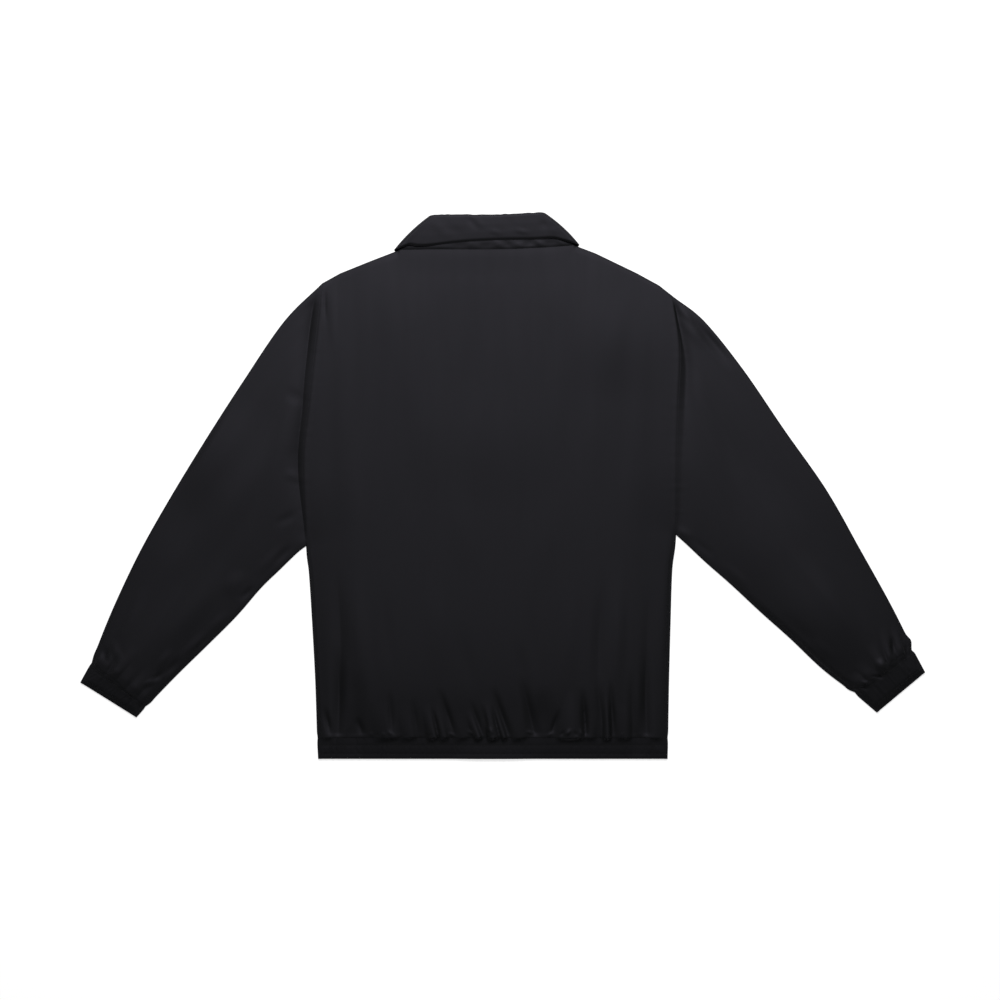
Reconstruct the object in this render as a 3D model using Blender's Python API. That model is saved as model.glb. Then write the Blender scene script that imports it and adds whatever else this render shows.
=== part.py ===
"""A light jacket laid flat and face down, so that its back is up, as cloth walls at real size.

Lengths are in millimetres and become metres when a mesh is made. +X runs to the right of someone who looks
down on the back with the collar away from them, +Y from hem to collar, and +Z up from the surface that the
jacket lies on. The origin is on that surface, under the middle of the jacket's outline.
"""

import math
from collections import namedtuple

import bmesh
import bpy
import numpy as np

METRES = 0.001

# Cloth, seams and the air between the layers
CLOTH = 1.6
COLLAR_CLOTH = 1.6
SEAM_GAP = 0.3
LAYER_GAP = 0.4
EDGE_RADIUS = CLOTH + LAYER_GAP / 2
CURVE_STEPS = 40
SHARP_ANGLE = math.radians(50)
EDGE_ANGLES = tuple(math.radians(a) for a in (0, 45, 90))
LOFT = 3.5
LOFT_RUN = 60.0

# The outline of the body from hem to shoulder, one row for each level across it
BodySection = namedtuple("BodySection", "left_x left_y right_x right_y")
BODY = (
    BodySection(-266.8, -394.3, 238.5, -394.3),
    BodySection(-268.3, -364.7, 239.3, -364.7),
    BodySection(-271.0, -282.0, 240.7, -282.0),
    BodySection(-275.5, -198.0, 242.9, -198.0),
    BodySection(-280.0, -128.0, 245.4, -122.0),
    BodySection(-284.2, -87.7, 250.8, -71.8),
    BodySection(-288.6, 35.0, 251.6, 45.0),
    BodySection(-280.0, 118.0, 253.8, 118.0),
    BodySection(-271.0, 199.0, 256.7, 199.0),
    BodySection(-261.0, 292.2, 246.5, 273.3),
)
HEM_SEAM, UNDERARM, SHOULDER = 1, 5, 9

# The top of the back: shoulder, neck and shoulder again, from left to right
TopPoint = namedtuple("TopPoint", "x y")
BACK_TOP = (
    TopPoint(-261.0, 292.2),
    TopPoint(-234.9, 306.7),
    TopPoint(-191.4, 324.0),
    TopPoint(-149.4, 340.0),
    TopPoint(-98.9, 340.6),
    TopPoint(-29.6, 340.3),
    TopPoint(16.7, 341.0),
    TopPoint(62.9, 343.4),
    TopPoint(104.4, 346.6),
    TopPoint(133.4, 335.7),
    TopPoint(194.3, 306.7),
    TopPoint(226.2, 289.3),
    TopPoint(246.5, 273.3),
)
NECK_LEFT, NECK_RIGHT = BACK_TOP[3], BACK_TOP[8]

# Sleeves from armhole to cuff seam, one row for each section, then the open end of the cuff
SleeveSection = namedtuple("SleeveSection", "outer_x outer_y under_x under_y")
LEFT_SLEEVE = (
    SleeveSection(-261.0, 292.2, -284.2, -87.7),
    SleeveSection(-316.1, 237.1, -297.2, -97.9),
    SleeveSection(-375.6, 150.1, -321.9, -121.8),
    SleeveSection(-430.6, 64.5, -349.4, -148.6),
    SleeveSection(-484.3, -23.9, -385.7, -186.3),
    SleeveSection(-526.4, -99.3, -424.8, -226.2),
    SleeveSection(-564.0, -179.1, -469.8, -273.3),
    SleeveSection(-594.5, -254.5, -514.8, -319.7),
)
LEFT_CUFF_END = SleeveSection(-611.2, -284.9, -529.2, -335.7)
RIGHT_SLEEVE = (
    SleeveSection(246.5, 273.3, 250.8, -71.8),
    SleeveSection(292.9, 238.5, 266.8, -86.3),
    SleeveSection(348.0, 167.5, 295.8, -110.9),
    SleeveSection(407.4, 80.5, 332.1, -142.1),
    SleeveSection(468.3, -6.5, 374.1, -182.0),
    SleeveSection(517.6, -93.5, 417.6, -219.7),
    SleeveSection(561.1, -171.8, 464.0, -263.2),
    SleeveSection(593.0, -235.6, 508.9, -298.0),
)
RIGHT_CUFF_END = SleeveSection(611.2, -269.0, 540.9, -328.4)
SLEEVE_UPPER_COLUMNS = 15
SLEEVE_LOWER_COLUMNS = 9
SLEEVE_RINGS = 18
CUFF_RINGS = 4
ARMHOLE_GAP = 0.45
ARMHOLE_DIP = 1.4
ARMHOLE_DIP_SECTIONS = 0.5
ARMHOLE_BOW_END = 0.5
CUFF_GAP = 0.6
RING_CROWDING = 0.076

# Centre front, where the left front lies outside the right one
CENTRE_X = -16.0
OVERLAP = 30.0
OVERLAP_RUN = 20.0
BACK_OVERLAP_RUN = 55.0
FRONT_NECK_Y = 243.0
FRONT_NECK_CURVE = TopPoint(94.0, 262.0)
SNAP_RADIUS = 6.5
SNAP_TAPER = 0.88
SNAP_HEIGHT = 1.2
SNAP_SIDES = 20
SNAP_TOP_Y = 222.0
SNAP_SPACING = 120.0
SNAP_COUNT = 5
SNAP_LIFT = SNAP_HEIGHT + SEAM_GAP
PLACKET_RUN = 15.0
PLACKET_END_Y = -340.0

# The collar, one row for each section from the left front end round the back to the right front end
CollarSection = namedtuple("CollarSection", "roll_x roll_y neck_x neck_y leaf_x leaf_y")
COLLAR_FRONT_LEFT = CollarSection(-19.0, 269.0, -19.0, 243.0, -78.3, 231.3)
COLLAR_BACK = (
    CollarSection(-94.3, 391.3, -147.4, 341.9, -156.6, 340.8),
    CollarSection(-70.0, 391.3, -110.0, 340.6, -112.0, 349.2),
    CollarSection(-45.0, 391.5, -70.0, 340.5, -64.0, 354.1),
    CollarSection(-17.0, 391.7, -22.0, 340.4, -17.4, 355.7),
    CollarSection(16.0, 392.4, 30.0, 341.8, 39.0, 358.0),
    CollarSection(38.0, 393.4, 70.0, 343.9, 78.0, 358.6),
    CollarSection(59.5, 394.5, 102.6, 348.3, 110.2, 348.0),
)
COLLAR_FRONT_RIGHT = CollarSection(-13.0, 269.0, -13.0, 243.0, 46.3, 231.3)
ROLL_FRONT_CURVE = TopPoint(59.0, 300.0)
NECK_GAP = 0.6
COLLAR_LIFT = COLLAR_CLOTH + 1.0
COLLAR_LIFT_HALF_WIDTH = 145.0
COLLAR_LIFT_RUN = 85.0
COLLAR_LIFT_Y = 195.0
COLLAR_LIFT_RUN_Y = 110.0
ROLL_BULGE = 3.0
STAND_INSET = 4.0
STAND_FOLD = 2.5
STAND_TOP_Z = 7.5
LEAF_FOLD = 5.0
LEAF_Z = 11.5
LEAF_CROWN = 0.8
LeafStep = namedtuple("LeafStep", "share crown")
LEAF_STEPS = (LeafStep(0.0, 0.4), LeafStep(0.33, 1.0), LeafStep(0.67, 0.8), LeafStep(1.0, 0.0))
FOLD_ANGLES = tuple(math.radians(a) for a in (-60, -30, 0, 30, 60))
ROLL_ANGLES = tuple(math.radians(a) for a in (45, 90, 135))
FRONT_STATIONS = (0.0, 0.3, 0.6, 0.85, 1.0)
BACK_STATIONS = 11
FOLD_BLEND = 0.25

# Gathers above the hem band: lean is in degrees, with tops to the left where it is positive
Gather = namedtuple("Gather", "across lean reach width height")
HEM_GATHERS = (
    Gather(-252.3, 2, 120, 12, 1.8),
    Gather(-221.9, 4, 40, 13, 1.2),
    Gather(-201.6, 6, 30, 8, 1.2),
    Gather(-178.0, 5, 36, 13, 1.5),
    Gather(-161.0, 8, 30, 7, 1.6),
    Gather(-140.7, 8, 46, 12, 1.8),
    Gather(-108.8, 9, 50, 13, 2.0),
    Gather(-79.8, 25, 58, 11, 3.0),
    Gather(-56.6, 12, 38, 11, 1.7),
    Gather(-36.3, 20, 44, 10, 2.4),
    Gather(-14.5, 3, 54, 11, 2.8),
    Gather(5.8, 20, 54, 8, 2.5),
    Gather(29.0, 6, 46, 14, 1.8),
    Gather(62.4, -4, 38, 13, 1.8),
    Gather(98.6, 4, 62, 20, 3.4),
    Gather(133.4, 0, 38, 13, 1.5),
    Gather(152.3, -3, 52, 8, 2.4),
    Gather(174.0, 0, 34, 12, 1.5),
    Gather(196.0, 2, 44, 10, 1.7),
    Gather(222.0, 2, 90, 12, 1.6),
)
# Gathers above a cuff: across is the share of the way from the under edge to the outer one
LEFT_CUFF_GATHERS = (
    Gather(0.14, 6, 34, 9, 1.6),
    Gather(0.32, -8, 52, 9, 2.2),
    Gather(0.50, 4, 30, 8, 1.6),
    Gather(0.68, -4, 60, 9, 2.4),
    Gather(0.86, 3, 42, 8, 1.6),
)
RIGHT_CUFF_GATHERS = (
    Gather(0.13, -5, 46, 9, 1.8),
    Gather(0.30, 7, 30, 8, 1.5),
    Gather(0.49, -3, 56, 10, 2.3),
    Gather(0.69, 6, 38, 8, 1.8),
    Gather(0.87, -6, 48, 8, 2.2),
)
BAND_FADE = 16.0

# Soft broad folds: middle, lean, half length, half width and height
Fold = namedtuple("Fold", "x y lean reach width height")
BROAD_FOLDS = (
    Fold(-262.0, -240.0, 1, 130, 13, 1.2),
    Fold(-208.0, -235.0, 3, 110, 20, 1.0),
    Fold(164.0, -220.0, -2, 120, 18, 1.1),
    Fold(226.0, -240.0, -1, 120, 12, 1.2),
    Fold(-402.0, -36.0, -34, 120, 30, 1.5),
    Fold(-478.0, -172.0, -35, 95, 18, 1.3),
    Fold(392.0, -30.0, 37, 120, 28, 1.5),
    Fold(470.0, -160.0, 38, 95, 18, 1.3),
)

# Columns and rows of the panels
UPPER_COLUMNS = 19
GATHER_ROWS = (1.0, 1.08, 1.2, 1.36, 1.58, 1.85, 2.2)
UPPER_ROWS = (2.7, 3.4, 4.2, 5.0, 5.15, 5.6, 6.2, 6.8, 7.5, 8.2, 8.75)
COLUMN_SPACING = 2.6
FRONT_EDGE_STEPS = (0.0, 10.0, 20.0, 30.0, 37.5, 45.0, 52.0, 66.0)
FRONT_COLUMNS = 9
FRONT_ROWS = (1.0, 1.8, 2.6, 3.4, 4.2, 5.0, 5.15, 5.8, 6.5, 7.2, 7.8, 8.3, 8.75)
HEM_ROWS = (0.0, 0.15, 0.6)

# Colour, roughness and metallic value of what each piece is made of
Finish = namedtuple("Finish", "colour roughness metallic")
PANEL_CLOTH = Finish((0.016, 0.016, 0.019), 0.5, 0.0)
BAND_CLOTH = Finish((0.011, 0.011, 0.012), 0.55, 0.0)
SNAP_FINISH = Finish((0.012, 0.012, 0.013), 0.35, 0.0)


def ease(share):
    """A smooth step from 0 to 1."""
    share = min(max(share, 0.0), 1.0)
    return share * share * (3 - 2 * share)


def mix(first, second, share):
    return np.asarray(first, float) * (1 - share) + np.asarray(second, float) * share


def unit(vector):
    return np.asarray(vector, float) / np.linalg.norm(vector)


def spline(rows, at):
    """A smooth curve through rows, read at a position where row k lies at k."""
    rows = np.asarray(rows, float)
    k = min(int(at), len(rows) - 2)
    share = at - k
    start, end = rows[k], rows[k + 1]
    leave = (end - rows[k - 1]) / 2 if k > 0 else end - start
    arrive = (rows[k + 2] - start) / 2 if k + 2 < len(rows) else end - start
    bend = share * share * (3 - 2 * share)
    return (
        start * (1 - bend)
        + end * bend
        + leave * (share**3 - 2 * share**2 + share)
        + arrive * (share**3 - share**2)
    )


def bezier(start, control, end, share):
    return mix(mix(start, control, share), mix(control, end, share), share)


def body_edges(level):
    """The left and right edge of the body at a level of its table."""
    row = spline(BODY, level)
    return row[:2], row[2:]


def armhole_x(side, y):
    """The armhole seam's X at a height Y, on the left (-1) or the right (1)."""
    levels = np.linspace(UNDERARM, SHOULDER, CURVE_STEPS)
    edge = [body_edges(level)[0 if side < 0 else 1] for level in levels]
    return float(np.interp(y, [p[1] for p in edge], [p[0] for p in edge]))


def back_top_y(x):
    return float(np.interp(x, [p.x for p in BACK_TOP], [p.y for p in BACK_TOP]))


def front_neck_point(side, share):
    """The front neckline from the shoulder (0) to the centre front (1)."""
    start = NECK_LEFT if side < 0 else NECK_RIGHT
    control = (CENTRE_X + side * FRONT_NECK_CURVE.x, FRONT_NECK_CURVE.y)
    return bezier(start, control, (CENTRE_X, FRONT_NECK_Y), share)


def front_top_y(side, x):
    """The top of a front: its shoulder, then its neckline, then level past the centre front."""
    neck_x = (NECK_LEFT if side < 0 else NECK_RIGHT).x
    if (x - neck_x) * side >= 0:
        return back_top_y(x)
    curve = np.array([front_neck_point(side, share) for share in np.linspace(0, 1, CURVE_STEPS)])
    order = np.argsort(curve[:, 0])
    return float(np.interp(x, curve[order, 0], curve[order, 1]))


def jacket_outline():
    """The outline of the whole jacket seen from above, as one closed loop of points."""
    steps = np.linspace(0, 1, CURVE_STEPS)
    left = [spline(LEFT_SLEEVE, share * (len(LEFT_SLEEVE) - 1)) for share in steps]
    right = [spline(RIGHT_SLEEVE, share * (len(RIGHT_SLEEVE) - 1)) for share in steps]
    sides = [body_edges(share * UNDERARM) for share in steps]
    collar = [(row.roll_x, row.roll_y) for row in COLLAR_BACK]
    loop = [p[2:] for p in left] + [LEFT_CUFF_END[2:], LEFT_CUFF_END[:2]] + [p[:2] for p in left[::-1]]
    loop += [p for p in BACK_TOP if p.x < NECK_LEFT.x]
    loop += [COLLAR_BACK[0][4:]] + collar + [COLLAR_BACK[-1][4:]]
    loop += [p for p in BACK_TOP if p.x > NECK_RIGHT.x]
    loop += [p[:2] for p in right] + [RIGHT_CUFF_END[:2], RIGHT_CUFF_END[2:]] + [p[2:] for p in right[::-1]]
    loop += [p[1] for p in sides[::-1]] + [p[0] for p in sides]
    return np.array([np.asarray(p, float) for p in loop])


OUTLINE = jacket_outline()


def outline_distance(x, y):
    """How far a point is from the jacket's outline."""
    start = OUTLINE
    run = np.roll(OUTLINE, -1, axis=0) - start
    length = np.maximum((run * run).sum(axis=1), 1e-9)
    away = np.array([x, y]) - start
    share = np.clip((away * run).sum(axis=1) / length, 0, 1)
    return float(np.sqrt(((away - run * share[:, None]) ** 2).sum(axis=1)).min())


def loft(x, y):
    """How far the air between the layers lifts the back."""
    near = 1 - min(outline_distance(x, y) / LOFT_RUN, 1)
    return LOFT * math.sqrt(1 - near * near)


def ridge(x, y, base, lean, reach, tail, width, height):
    """A soft ridge from a base point: reach long one way, tail the other, highest at the base."""
    lean = math.radians(lean)
    along = -math.sin(lean) * (x - base[0]) + math.cos(lean) * (y - base[1])
    across = math.cos(lean) * (x - base[0]) + math.sin(lean) * (y - base[1])
    length = reach if along > 0 else tail
    if abs(along) >= length or abs(across) >= width:
        return 0.0
    fade = math.cos(math.pi / 2 * along / length) ** 2
    return height * fade * math.cos(math.pi / 2 * across / width) ** 2


def cuff_gathers(x, y, sleeve, cuff_end, gathers):
    """The gathers above one cuff, run up the sleeve from its seam."""
    seam = np.array(sleeve[-1])
    up = unit(seam[:2] + seam[2:] - np.array(cuff_end[:2]) - np.array(cuff_end[2:]))
    axis = math.degrees(math.atan2(-up[0], up[1]))
    total = 0.0
    for row in gathers:
        base = mix(seam[2:], seam[:2], row.across)
        total += ridge(x, y, base, axis + row.lean, row.reach, BAND_FADE, row.width, row.height)
    return total


def folds(x, y):
    """All gathers and broad folds of the upper layer at a point."""
    seam_y = BODY[HEM_SEAM].left_y
    total = 0.0
    for row in HEM_GATHERS:
        base = (row.across, seam_y)
        total += ridge(x, y, base, row.lean, row.reach, BAND_FADE, row.width, row.height)
    for row in BROAD_FOLDS:
        total += ridge(x, y, (row.x, row.y), row.lean, row.reach, row.reach, row.width, row.height)
    total += cuff_gathers(x, y, LEFT_SLEEVE, LEFT_CUFF_END, LEFT_CUFF_GATHERS)
    total += cuff_gathers(x, y, RIGHT_SLEEVE, RIGHT_CUFF_END, RIGHT_CUFF_GATHERS)
    return total


def collar_lift(x, y):
    """How far the fronts lie above the surface where the collar's leaves are under them."""
    across = (COLLAR_LIFT_HALF_WIDTH + COLLAR_LIFT_RUN - abs(x - CENTRE_X)) / COLLAR_LIFT_RUN
    along = (y - COLLAR_LIFT_Y + COLLAR_LIFT_RUN_Y) / COLLAR_LIFT_RUN_Y
    return COLLAR_LIFT * ease(across) * ease(along)


def front_lift(x, y):
    """How far the outer front lies above the surface: over the collar's leaves and the snap caps."""
    across = (OVERLAP / 2 + PLACKET_RUN - abs(x - CENTRE_X)) / PLACKET_RUN
    along = (y - PLACKET_END_Y) / PLACKET_RUN
    return max(collar_lift(x, y), SNAP_LIFT * ease(across) * ease(along))


def overlap_lift(distance, run):
    """How far a layer lies above the outer front, by distance from the centre front."""
    return (CLOTH + LAYER_GAP) * ease((OVERLAP / 2 + run - distance) / run)


def upper_z(x, y):
    """The top face of the upper layer: back, sleeve tops, cuffs and hem."""
    lift = collar_lift(x, y)
    over_fronts = front_lift(x, y) - lift + overlap_lift(abs(x - CENTRE_X), BACK_OVERLAP_RUN)
    return lift + 2 * CLOTH + LAYER_GAP + max(loft(x, y), over_fronts) + folds(x, y)


def edge_step(angle, inner, gap=0.0):
    """How far in and up a folded edge's face is, at an angle round it from its outermost line.

    Where the fold is a seam, each side of it starts half a gap from that line.
    """
    radius = EDGE_RADIUS - CLOTH if inner else EDGE_RADIUS
    rise = gap / 2 + (radius - gap / 2) * math.sin(angle)
    return EDGE_RADIUS - radius * math.cos(angle), rise


def material(name, finish):
    made = bpy.data.materials.new(name)
    made.use_nodes = True
    shader = made.node_tree.nodes["Principled BSDF"]
    shader.inputs["Base Color"].default_value = (*finish.colour, 1.0)
    shader.inputs["Roughness"].default_value = finish.roughness
    shader.inputs["Metallic"].default_value = finish.metallic
    return made


def add_object(name, mesh_maker, finish):
    """Turn a bmesh in millimetres into a named object with its own material."""
    bmesh.ops.recalc_face_normals(mesh_maker, faces=mesh_maker.faces)
    bmesh.ops.scale(mesh_maker, vec=(METRES,) * 3, verts=mesh_maker.verts)
    mesh = bpy.data.meshes.new(name)
    mesh_maker.to_mesh(mesh)
    mesh_maker.free()
    mesh.shade_smooth()
    mesh.set_sharp_from_angle(angle=SHARP_ANGLE)
    mesh.materials.append(material(name, finish))
    made = bpy.data.objects.new(name, mesh)
    bpy.context.collection.objects.link(made)
    return made


def join_rows(maker, first, second, ring):
    """Fill the strip between two rows of vertices, which may differ in number."""
    if ring:
        first = first + first[:1]
        second = second + second[:1]
    i, j = 0, 0
    last_i, last_j = len(first) - 1, len(second) - 1
    while i < last_i or j < last_j:
        if last_i == last_j:
            maker.faces.new((first[i], first[i + 1], second[j + 1], second[j]))
            i, j = i + 1, j + 1
        elif j == last_j or (i < last_i and (i + 0.5) / last_i <= (j + 0.5) / last_j):
            maker.faces.new((first[i], first[i + 1], second[j]))
            i += 1
        else:
            maker.faces.new((first[i], second[j + 1], second[j]))
            j += 1


def wall(name, outer, inner, finish, ring=False):
    """A closed wall between an outer and an inner surface, each given as rows of points."""
    maker = bmesh.new()
    faces = [[[maker.verts.new(p) for p in row] for row in rows] for rows in (outer, inner)]
    for rows in faces:
        for first, second in zip(rows, rows[1:]):
            join_rows(maker, first, second, ring)
    for end in (0, -1):
        join_rows(maker, faces[0][end], faces[1][end], ring)
        if not ring:
            join_rows(maker, [r[end] for r in faces[0]], [r[end] for r in faces[1]], False)
    return add_object(name, maker, finish)


def gather_columns():
    """X of the back's columns in the gathered part: across each gather, and close to the folded edges."""
    left, right = body_edges(HEM_SEAM)
    wanted = [row.across + row.width * share for row in HEM_GATHERS for share in (-1, -0.5, 0, 0.5, 1)]
    columns = [left[0] + 2 * COLUMN_SPACING]
    for x in sorted(wanted):
        if columns[-1] + COLUMN_SPACING <= x <= right[0] - 3 * COLUMN_SPACING:
            columns.append(x)
    return [(x - left[0]) / (right[0] - left[0]) for x in columns + [right[0] - 2 * COLUMN_SPACING]]


GATHER_COLUMNS = gather_columns()


def even_columns(count):
    return [(k + 1) / (count + 1) for k in range(count)]


def seam_edge(rolled, inner):
    """Steps in from a panel's edge and the rise at each, which is None along an armhole."""
    steps = [edge_step(angle, inner and rolled, SEAM_GAP) for angle in EDGE_ANGLES]
    return [(step, rise if rolled else None) for step, rise in steps]


def top_shift(level):
    """The share of the top edge's curve that a row of a panel follows."""
    left, _ = body_edges(level)
    start, end = BODY[HEM_SEAM].left_y, BODY[SHOULDER].left_y
    return max((left[1] - start) / (end - start), 0.0) ** 2


TopEdge = namedtuple("TopEdge", "shoulder_step neck_step rise")
NO_TOP = TopEdge(0.0, 0.0, None)


def top_edges(inner):
    """The rows round a panel's top edge: a folded seam on the shoulders and a plain edge at the neck."""
    rows = []
    for angle in EDGE_ANGLES[::-1]:
        step, rise = edge_step(angle, inner, SEAM_GAP)
        rows.append(TopEdge(step, edge_step(angle, False)[0], rise))
    return rows


def upper_layer_z(x, y, rise, inner):
    """The back's height: round its folded edge, or over what lies under it."""
    if rise is not None:
        return front_lift(x, y) + EDGE_RADIUS + rise
    return upper_z(x, y) - (CLOTH if inner else 0)


def back_row(level, shares, inner, top=NO_TOP):
    """One row of the back or its hem, across the body at a level of its table."""
    left, right = body_edges(level)
    edge = [(step / (right[0] - left[0]), rise) for step, rise in seam_edge(level <= UNDERARM, inner)]
    columns = edge + [(share, None) for share in shares] + [(1 - share, rise) for share, rise in edge[::-1]]
    row = []
    for share, rise in columns:
        x, y = mix(left, right, share)
        top_x, level_y = mix(BACK_TOP[0], BACK_TOP[-1], share)
        on_shoulder = not NECK_LEFT.x <= top_x <= NECK_RIGHT.x
        y += top_shift(level) * (back_top_y(top_x) - level_y)
        y -= top.shoulder_step if on_shoulder else top.neck_step
        if rise is None and on_shoulder:
            rise = top.rise
        row.append((x, y, upper_layer_z(x, y, rise, inner)))
    return row


def back_rows(inner):
    rows = [back_row(level, GATHER_COLUMNS, inner) for level in GATHER_ROWS]
    rows += [back_row(level, even_columns(UPPER_COLUMNS), inner) for level in UPPER_ROWS]
    return rows + [back_row(SHOULDER, even_columns(UPPER_COLUMNS), inner, top) for top in top_edges(inner)]


def build_back():
    return wall("back", back_rows(False), back_rows(True), PANEL_CLOTH)


def hem_levels():
    """Levels of the hem band's rows, from its lower edge to just under its seam."""
    depth = BODY[HEM_SEAM].left_y - BODY[0].left_y
    return [*HEM_ROWS, 1 - SEAM_GAP / depth]


def build_hem_back():
    rows = [[back_row(level, GATHER_COLUMNS, inner) for level in hem_levels()] for inner in (False, True)]
    return wall("hem_back", *rows, BAND_CLOTH)


def lower_layer_z(side, x, y, rise, inner):
    """A front's height: its outer face lies on the surface, the collar, the snaps or the other front."""
    if rise is not None:
        return front_lift(x, y) + EDGE_RADIUS - rise
    over = overlap_lift(max(x - CENTRE_X, 0), OVERLAP_RUN) if side > 0 else 0.0
    return front_lift(x, y) + over + (CLOTH if inner else 0)


def front_row(side, level, inner, top=NO_TOP):
    """One row of a front or its hem, from the side edge to the edge past the centre front."""
    edge = body_edges(level)[0 if side < 0 else 1]
    shoulder = body_edges(SHOULDER)[0 if side < 0 else 1]
    neck = NECK_LEFT if side < 0 else NECK_RIGHT
    front_x = CENTRE_X - side * OVERLAP / 2
    width = abs(front_x - edge[0])
    last_share = 1 - FRONT_EDGE_STEPS[-1] / width
    columns = [(step / width, rise) for step, rise in seam_edge(level <= UNDERARM, inner)]
    columns += [(share * last_share, None) for share in even_columns(FRONT_COLUMNS)]
    columns += [(1 - step / width, None) for step in FRONT_EDGE_STEPS[::-1]]
    row = []
    for share, rise in columns:
        x = mix(edge[0], front_x, share)
        top_x = mix(shoulder[0], front_x, share)
        on_shoulder = (top_x - neck.x) * side >= 0
        y = edge[1] + top_shift(level) * (front_top_y(side, top_x) - shoulder[1])
        y -= top.shoulder_step if on_shoulder else top.neck_step
        if rise is None and on_shoulder:
            rise = top.rise
        row.append((x, y, lower_layer_z(side, x, y, rise, inner)))
    return row


def front_rows(side, inner):
    rows = [front_row(side, level, inner) for level in FRONT_ROWS]
    return rows + [front_row(side, SHOULDER, inner, top) for top in top_edges(inner)]


def build_fronts():
    for side, word in ((-1, "left"), (1, "right")):
        wall(f"front_{word}", front_rows(side, False), front_rows(side, True), PANEL_CLOTH)
        bands = [[front_row(side, level, inner) for level in hem_levels()] for inner in (False, True)]
        wall(f"hem_front_{word}", *bands, BAND_CLOTH)


def sleeve_ring(side, section, bow_share, inner, dip=0.0):
    """One ring of a flattened tube: under edge, upper side, outer edge and lower side.

    The bow share says how far the ring follows the armhole's curve, and the dip sinks its upper side.
    """
    outer_edge, under_edge = section[:2], section[2:]
    width = float(np.linalg.norm(outer_edge - under_edge))
    round_edge = [edge_step(angle, inner) for angle in EDGE_ANGLES]
    upper = [(step / width, rise) for step, rise in round_edge]
    upper += [(share, None) for share in even_columns(SLEEVE_UPPER_COLUMNS)]
    upper += [(1 - step / width, rise) for step, rise in round_edge[::-1]]
    lower = [(1 - step / width, -rise) for step, rise in round_edge[1:]]
    lower += [(1 - share, "lower") for share in even_columns(SLEEVE_LOWER_COLUMNS)]
    lower += [(step / width, -rise) for step, rise in round_edge[:0:-1]]
    ring = []
    for share, rise in upper + lower:
        x, y = mix(under_edge, outer_edge, share)
        if bow_share > 0:
            armhole = (LEFT_SLEEVE if side < 0 else RIGHT_SLEEVE)[0]
            chord_x, seam_y = mix(armhole[2:], armhole[:2], share)
            x += bow_share * (armhole_x(side, seam_y) - chord_x)
        if rise is None:
            z = upper_z(x, y) - dip * math.sin(math.pi * share) - (CLOTH if inner else 0)
        elif rise == "lower":
            z = CLOTH if inner else 0.0
        else:
            z = EDGE_RADIUS + rise
        ring.append((x, y, z))
    return ring


def sleeve_rings(side, table, inner):
    """Rings from the armhole to the cuff seam, closer together at both ends."""
    sections = len(table) - 1
    rings = []
    for k in range(SLEEVE_RINGS):
        share = k / (SLEEVE_RINGS - 1)
        at = share - RING_CROWDING * math.sin(2 * math.pi * share)
        section = spline(table, at * sections)
        if k == 0:
            section[[0, 2]] += side * ARMHOLE_GAP
        bow = max(1 - at / ARMHOLE_BOW_END, 0) ** 2
        dip = ARMHOLE_DIP * math.exp(-((at * sections / ARMHOLE_DIP_SECTIONS) ** 2))
        rings.append(sleeve_ring(side, section, bow, inner, dip))
    return rings


def cuff_rings(side, seam, end, inner):
    """Rings from the cuff seam to the open end of the cuff."""
    seam, end = np.array(seam), np.array(end)
    length = np.linalg.norm((end - seam)[:2] + (end - seam)[2:]) / 2
    shares = np.linspace(CUFF_GAP / length, 1, CUFF_RINGS)
    return [sleeve_ring(side, mix(seam, end, share), 0.0, inner) for share in shares]


def build_sleeves():
    for side, word, table, end in (
        (-1, "left", LEFT_SLEEVE, LEFT_CUFF_END),
        (1, "right", RIGHT_SLEEVE, RIGHT_CUFF_END),
    ):
        wall(f"sleeve_{word}", *[sleeve_rings(side, table, i) for i in (False, True)], PANEL_CLOTH, True)
        wall(f"cuff_{word}", *[cuff_rings(side, table[-1], end, i) for i in (False, True)], BAND_CLOTH, True)


# Ways in from the fold at a side of the collar, for its neck seam, roll line and leaf edge
Inward = namedtuple("Inward", "neck roll leaf")


def fold_inward(fold_row, next_row):
    """Ways in from a fold: square to it, and on the back along the roll line and the leaf's edge."""
    fold_row, next_row = np.array(fold_row), np.array(next_row)
    down = unit(fold_row[4:] - fold_row[:2])
    square = np.array([-down[1], down[0]])
    square *= math.copysign(1, square @ (next_row[:2] - fold_row[:2]))
    ways = [unit(next_row[k : k + 2] - fold_row[k : k + 2]) for k in (0, 4)]
    front = Inward(square, square, square)
    return front, Inward(square, *[way / (way @ square) for way in ways])


def scaled(inward, neck, others):
    return Inward(inward.neck * neck, inward.roll * others, inward.leaf * others)


def added(first, second):
    return Inward(*[a + b for a, b in zip(first, second)])


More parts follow.
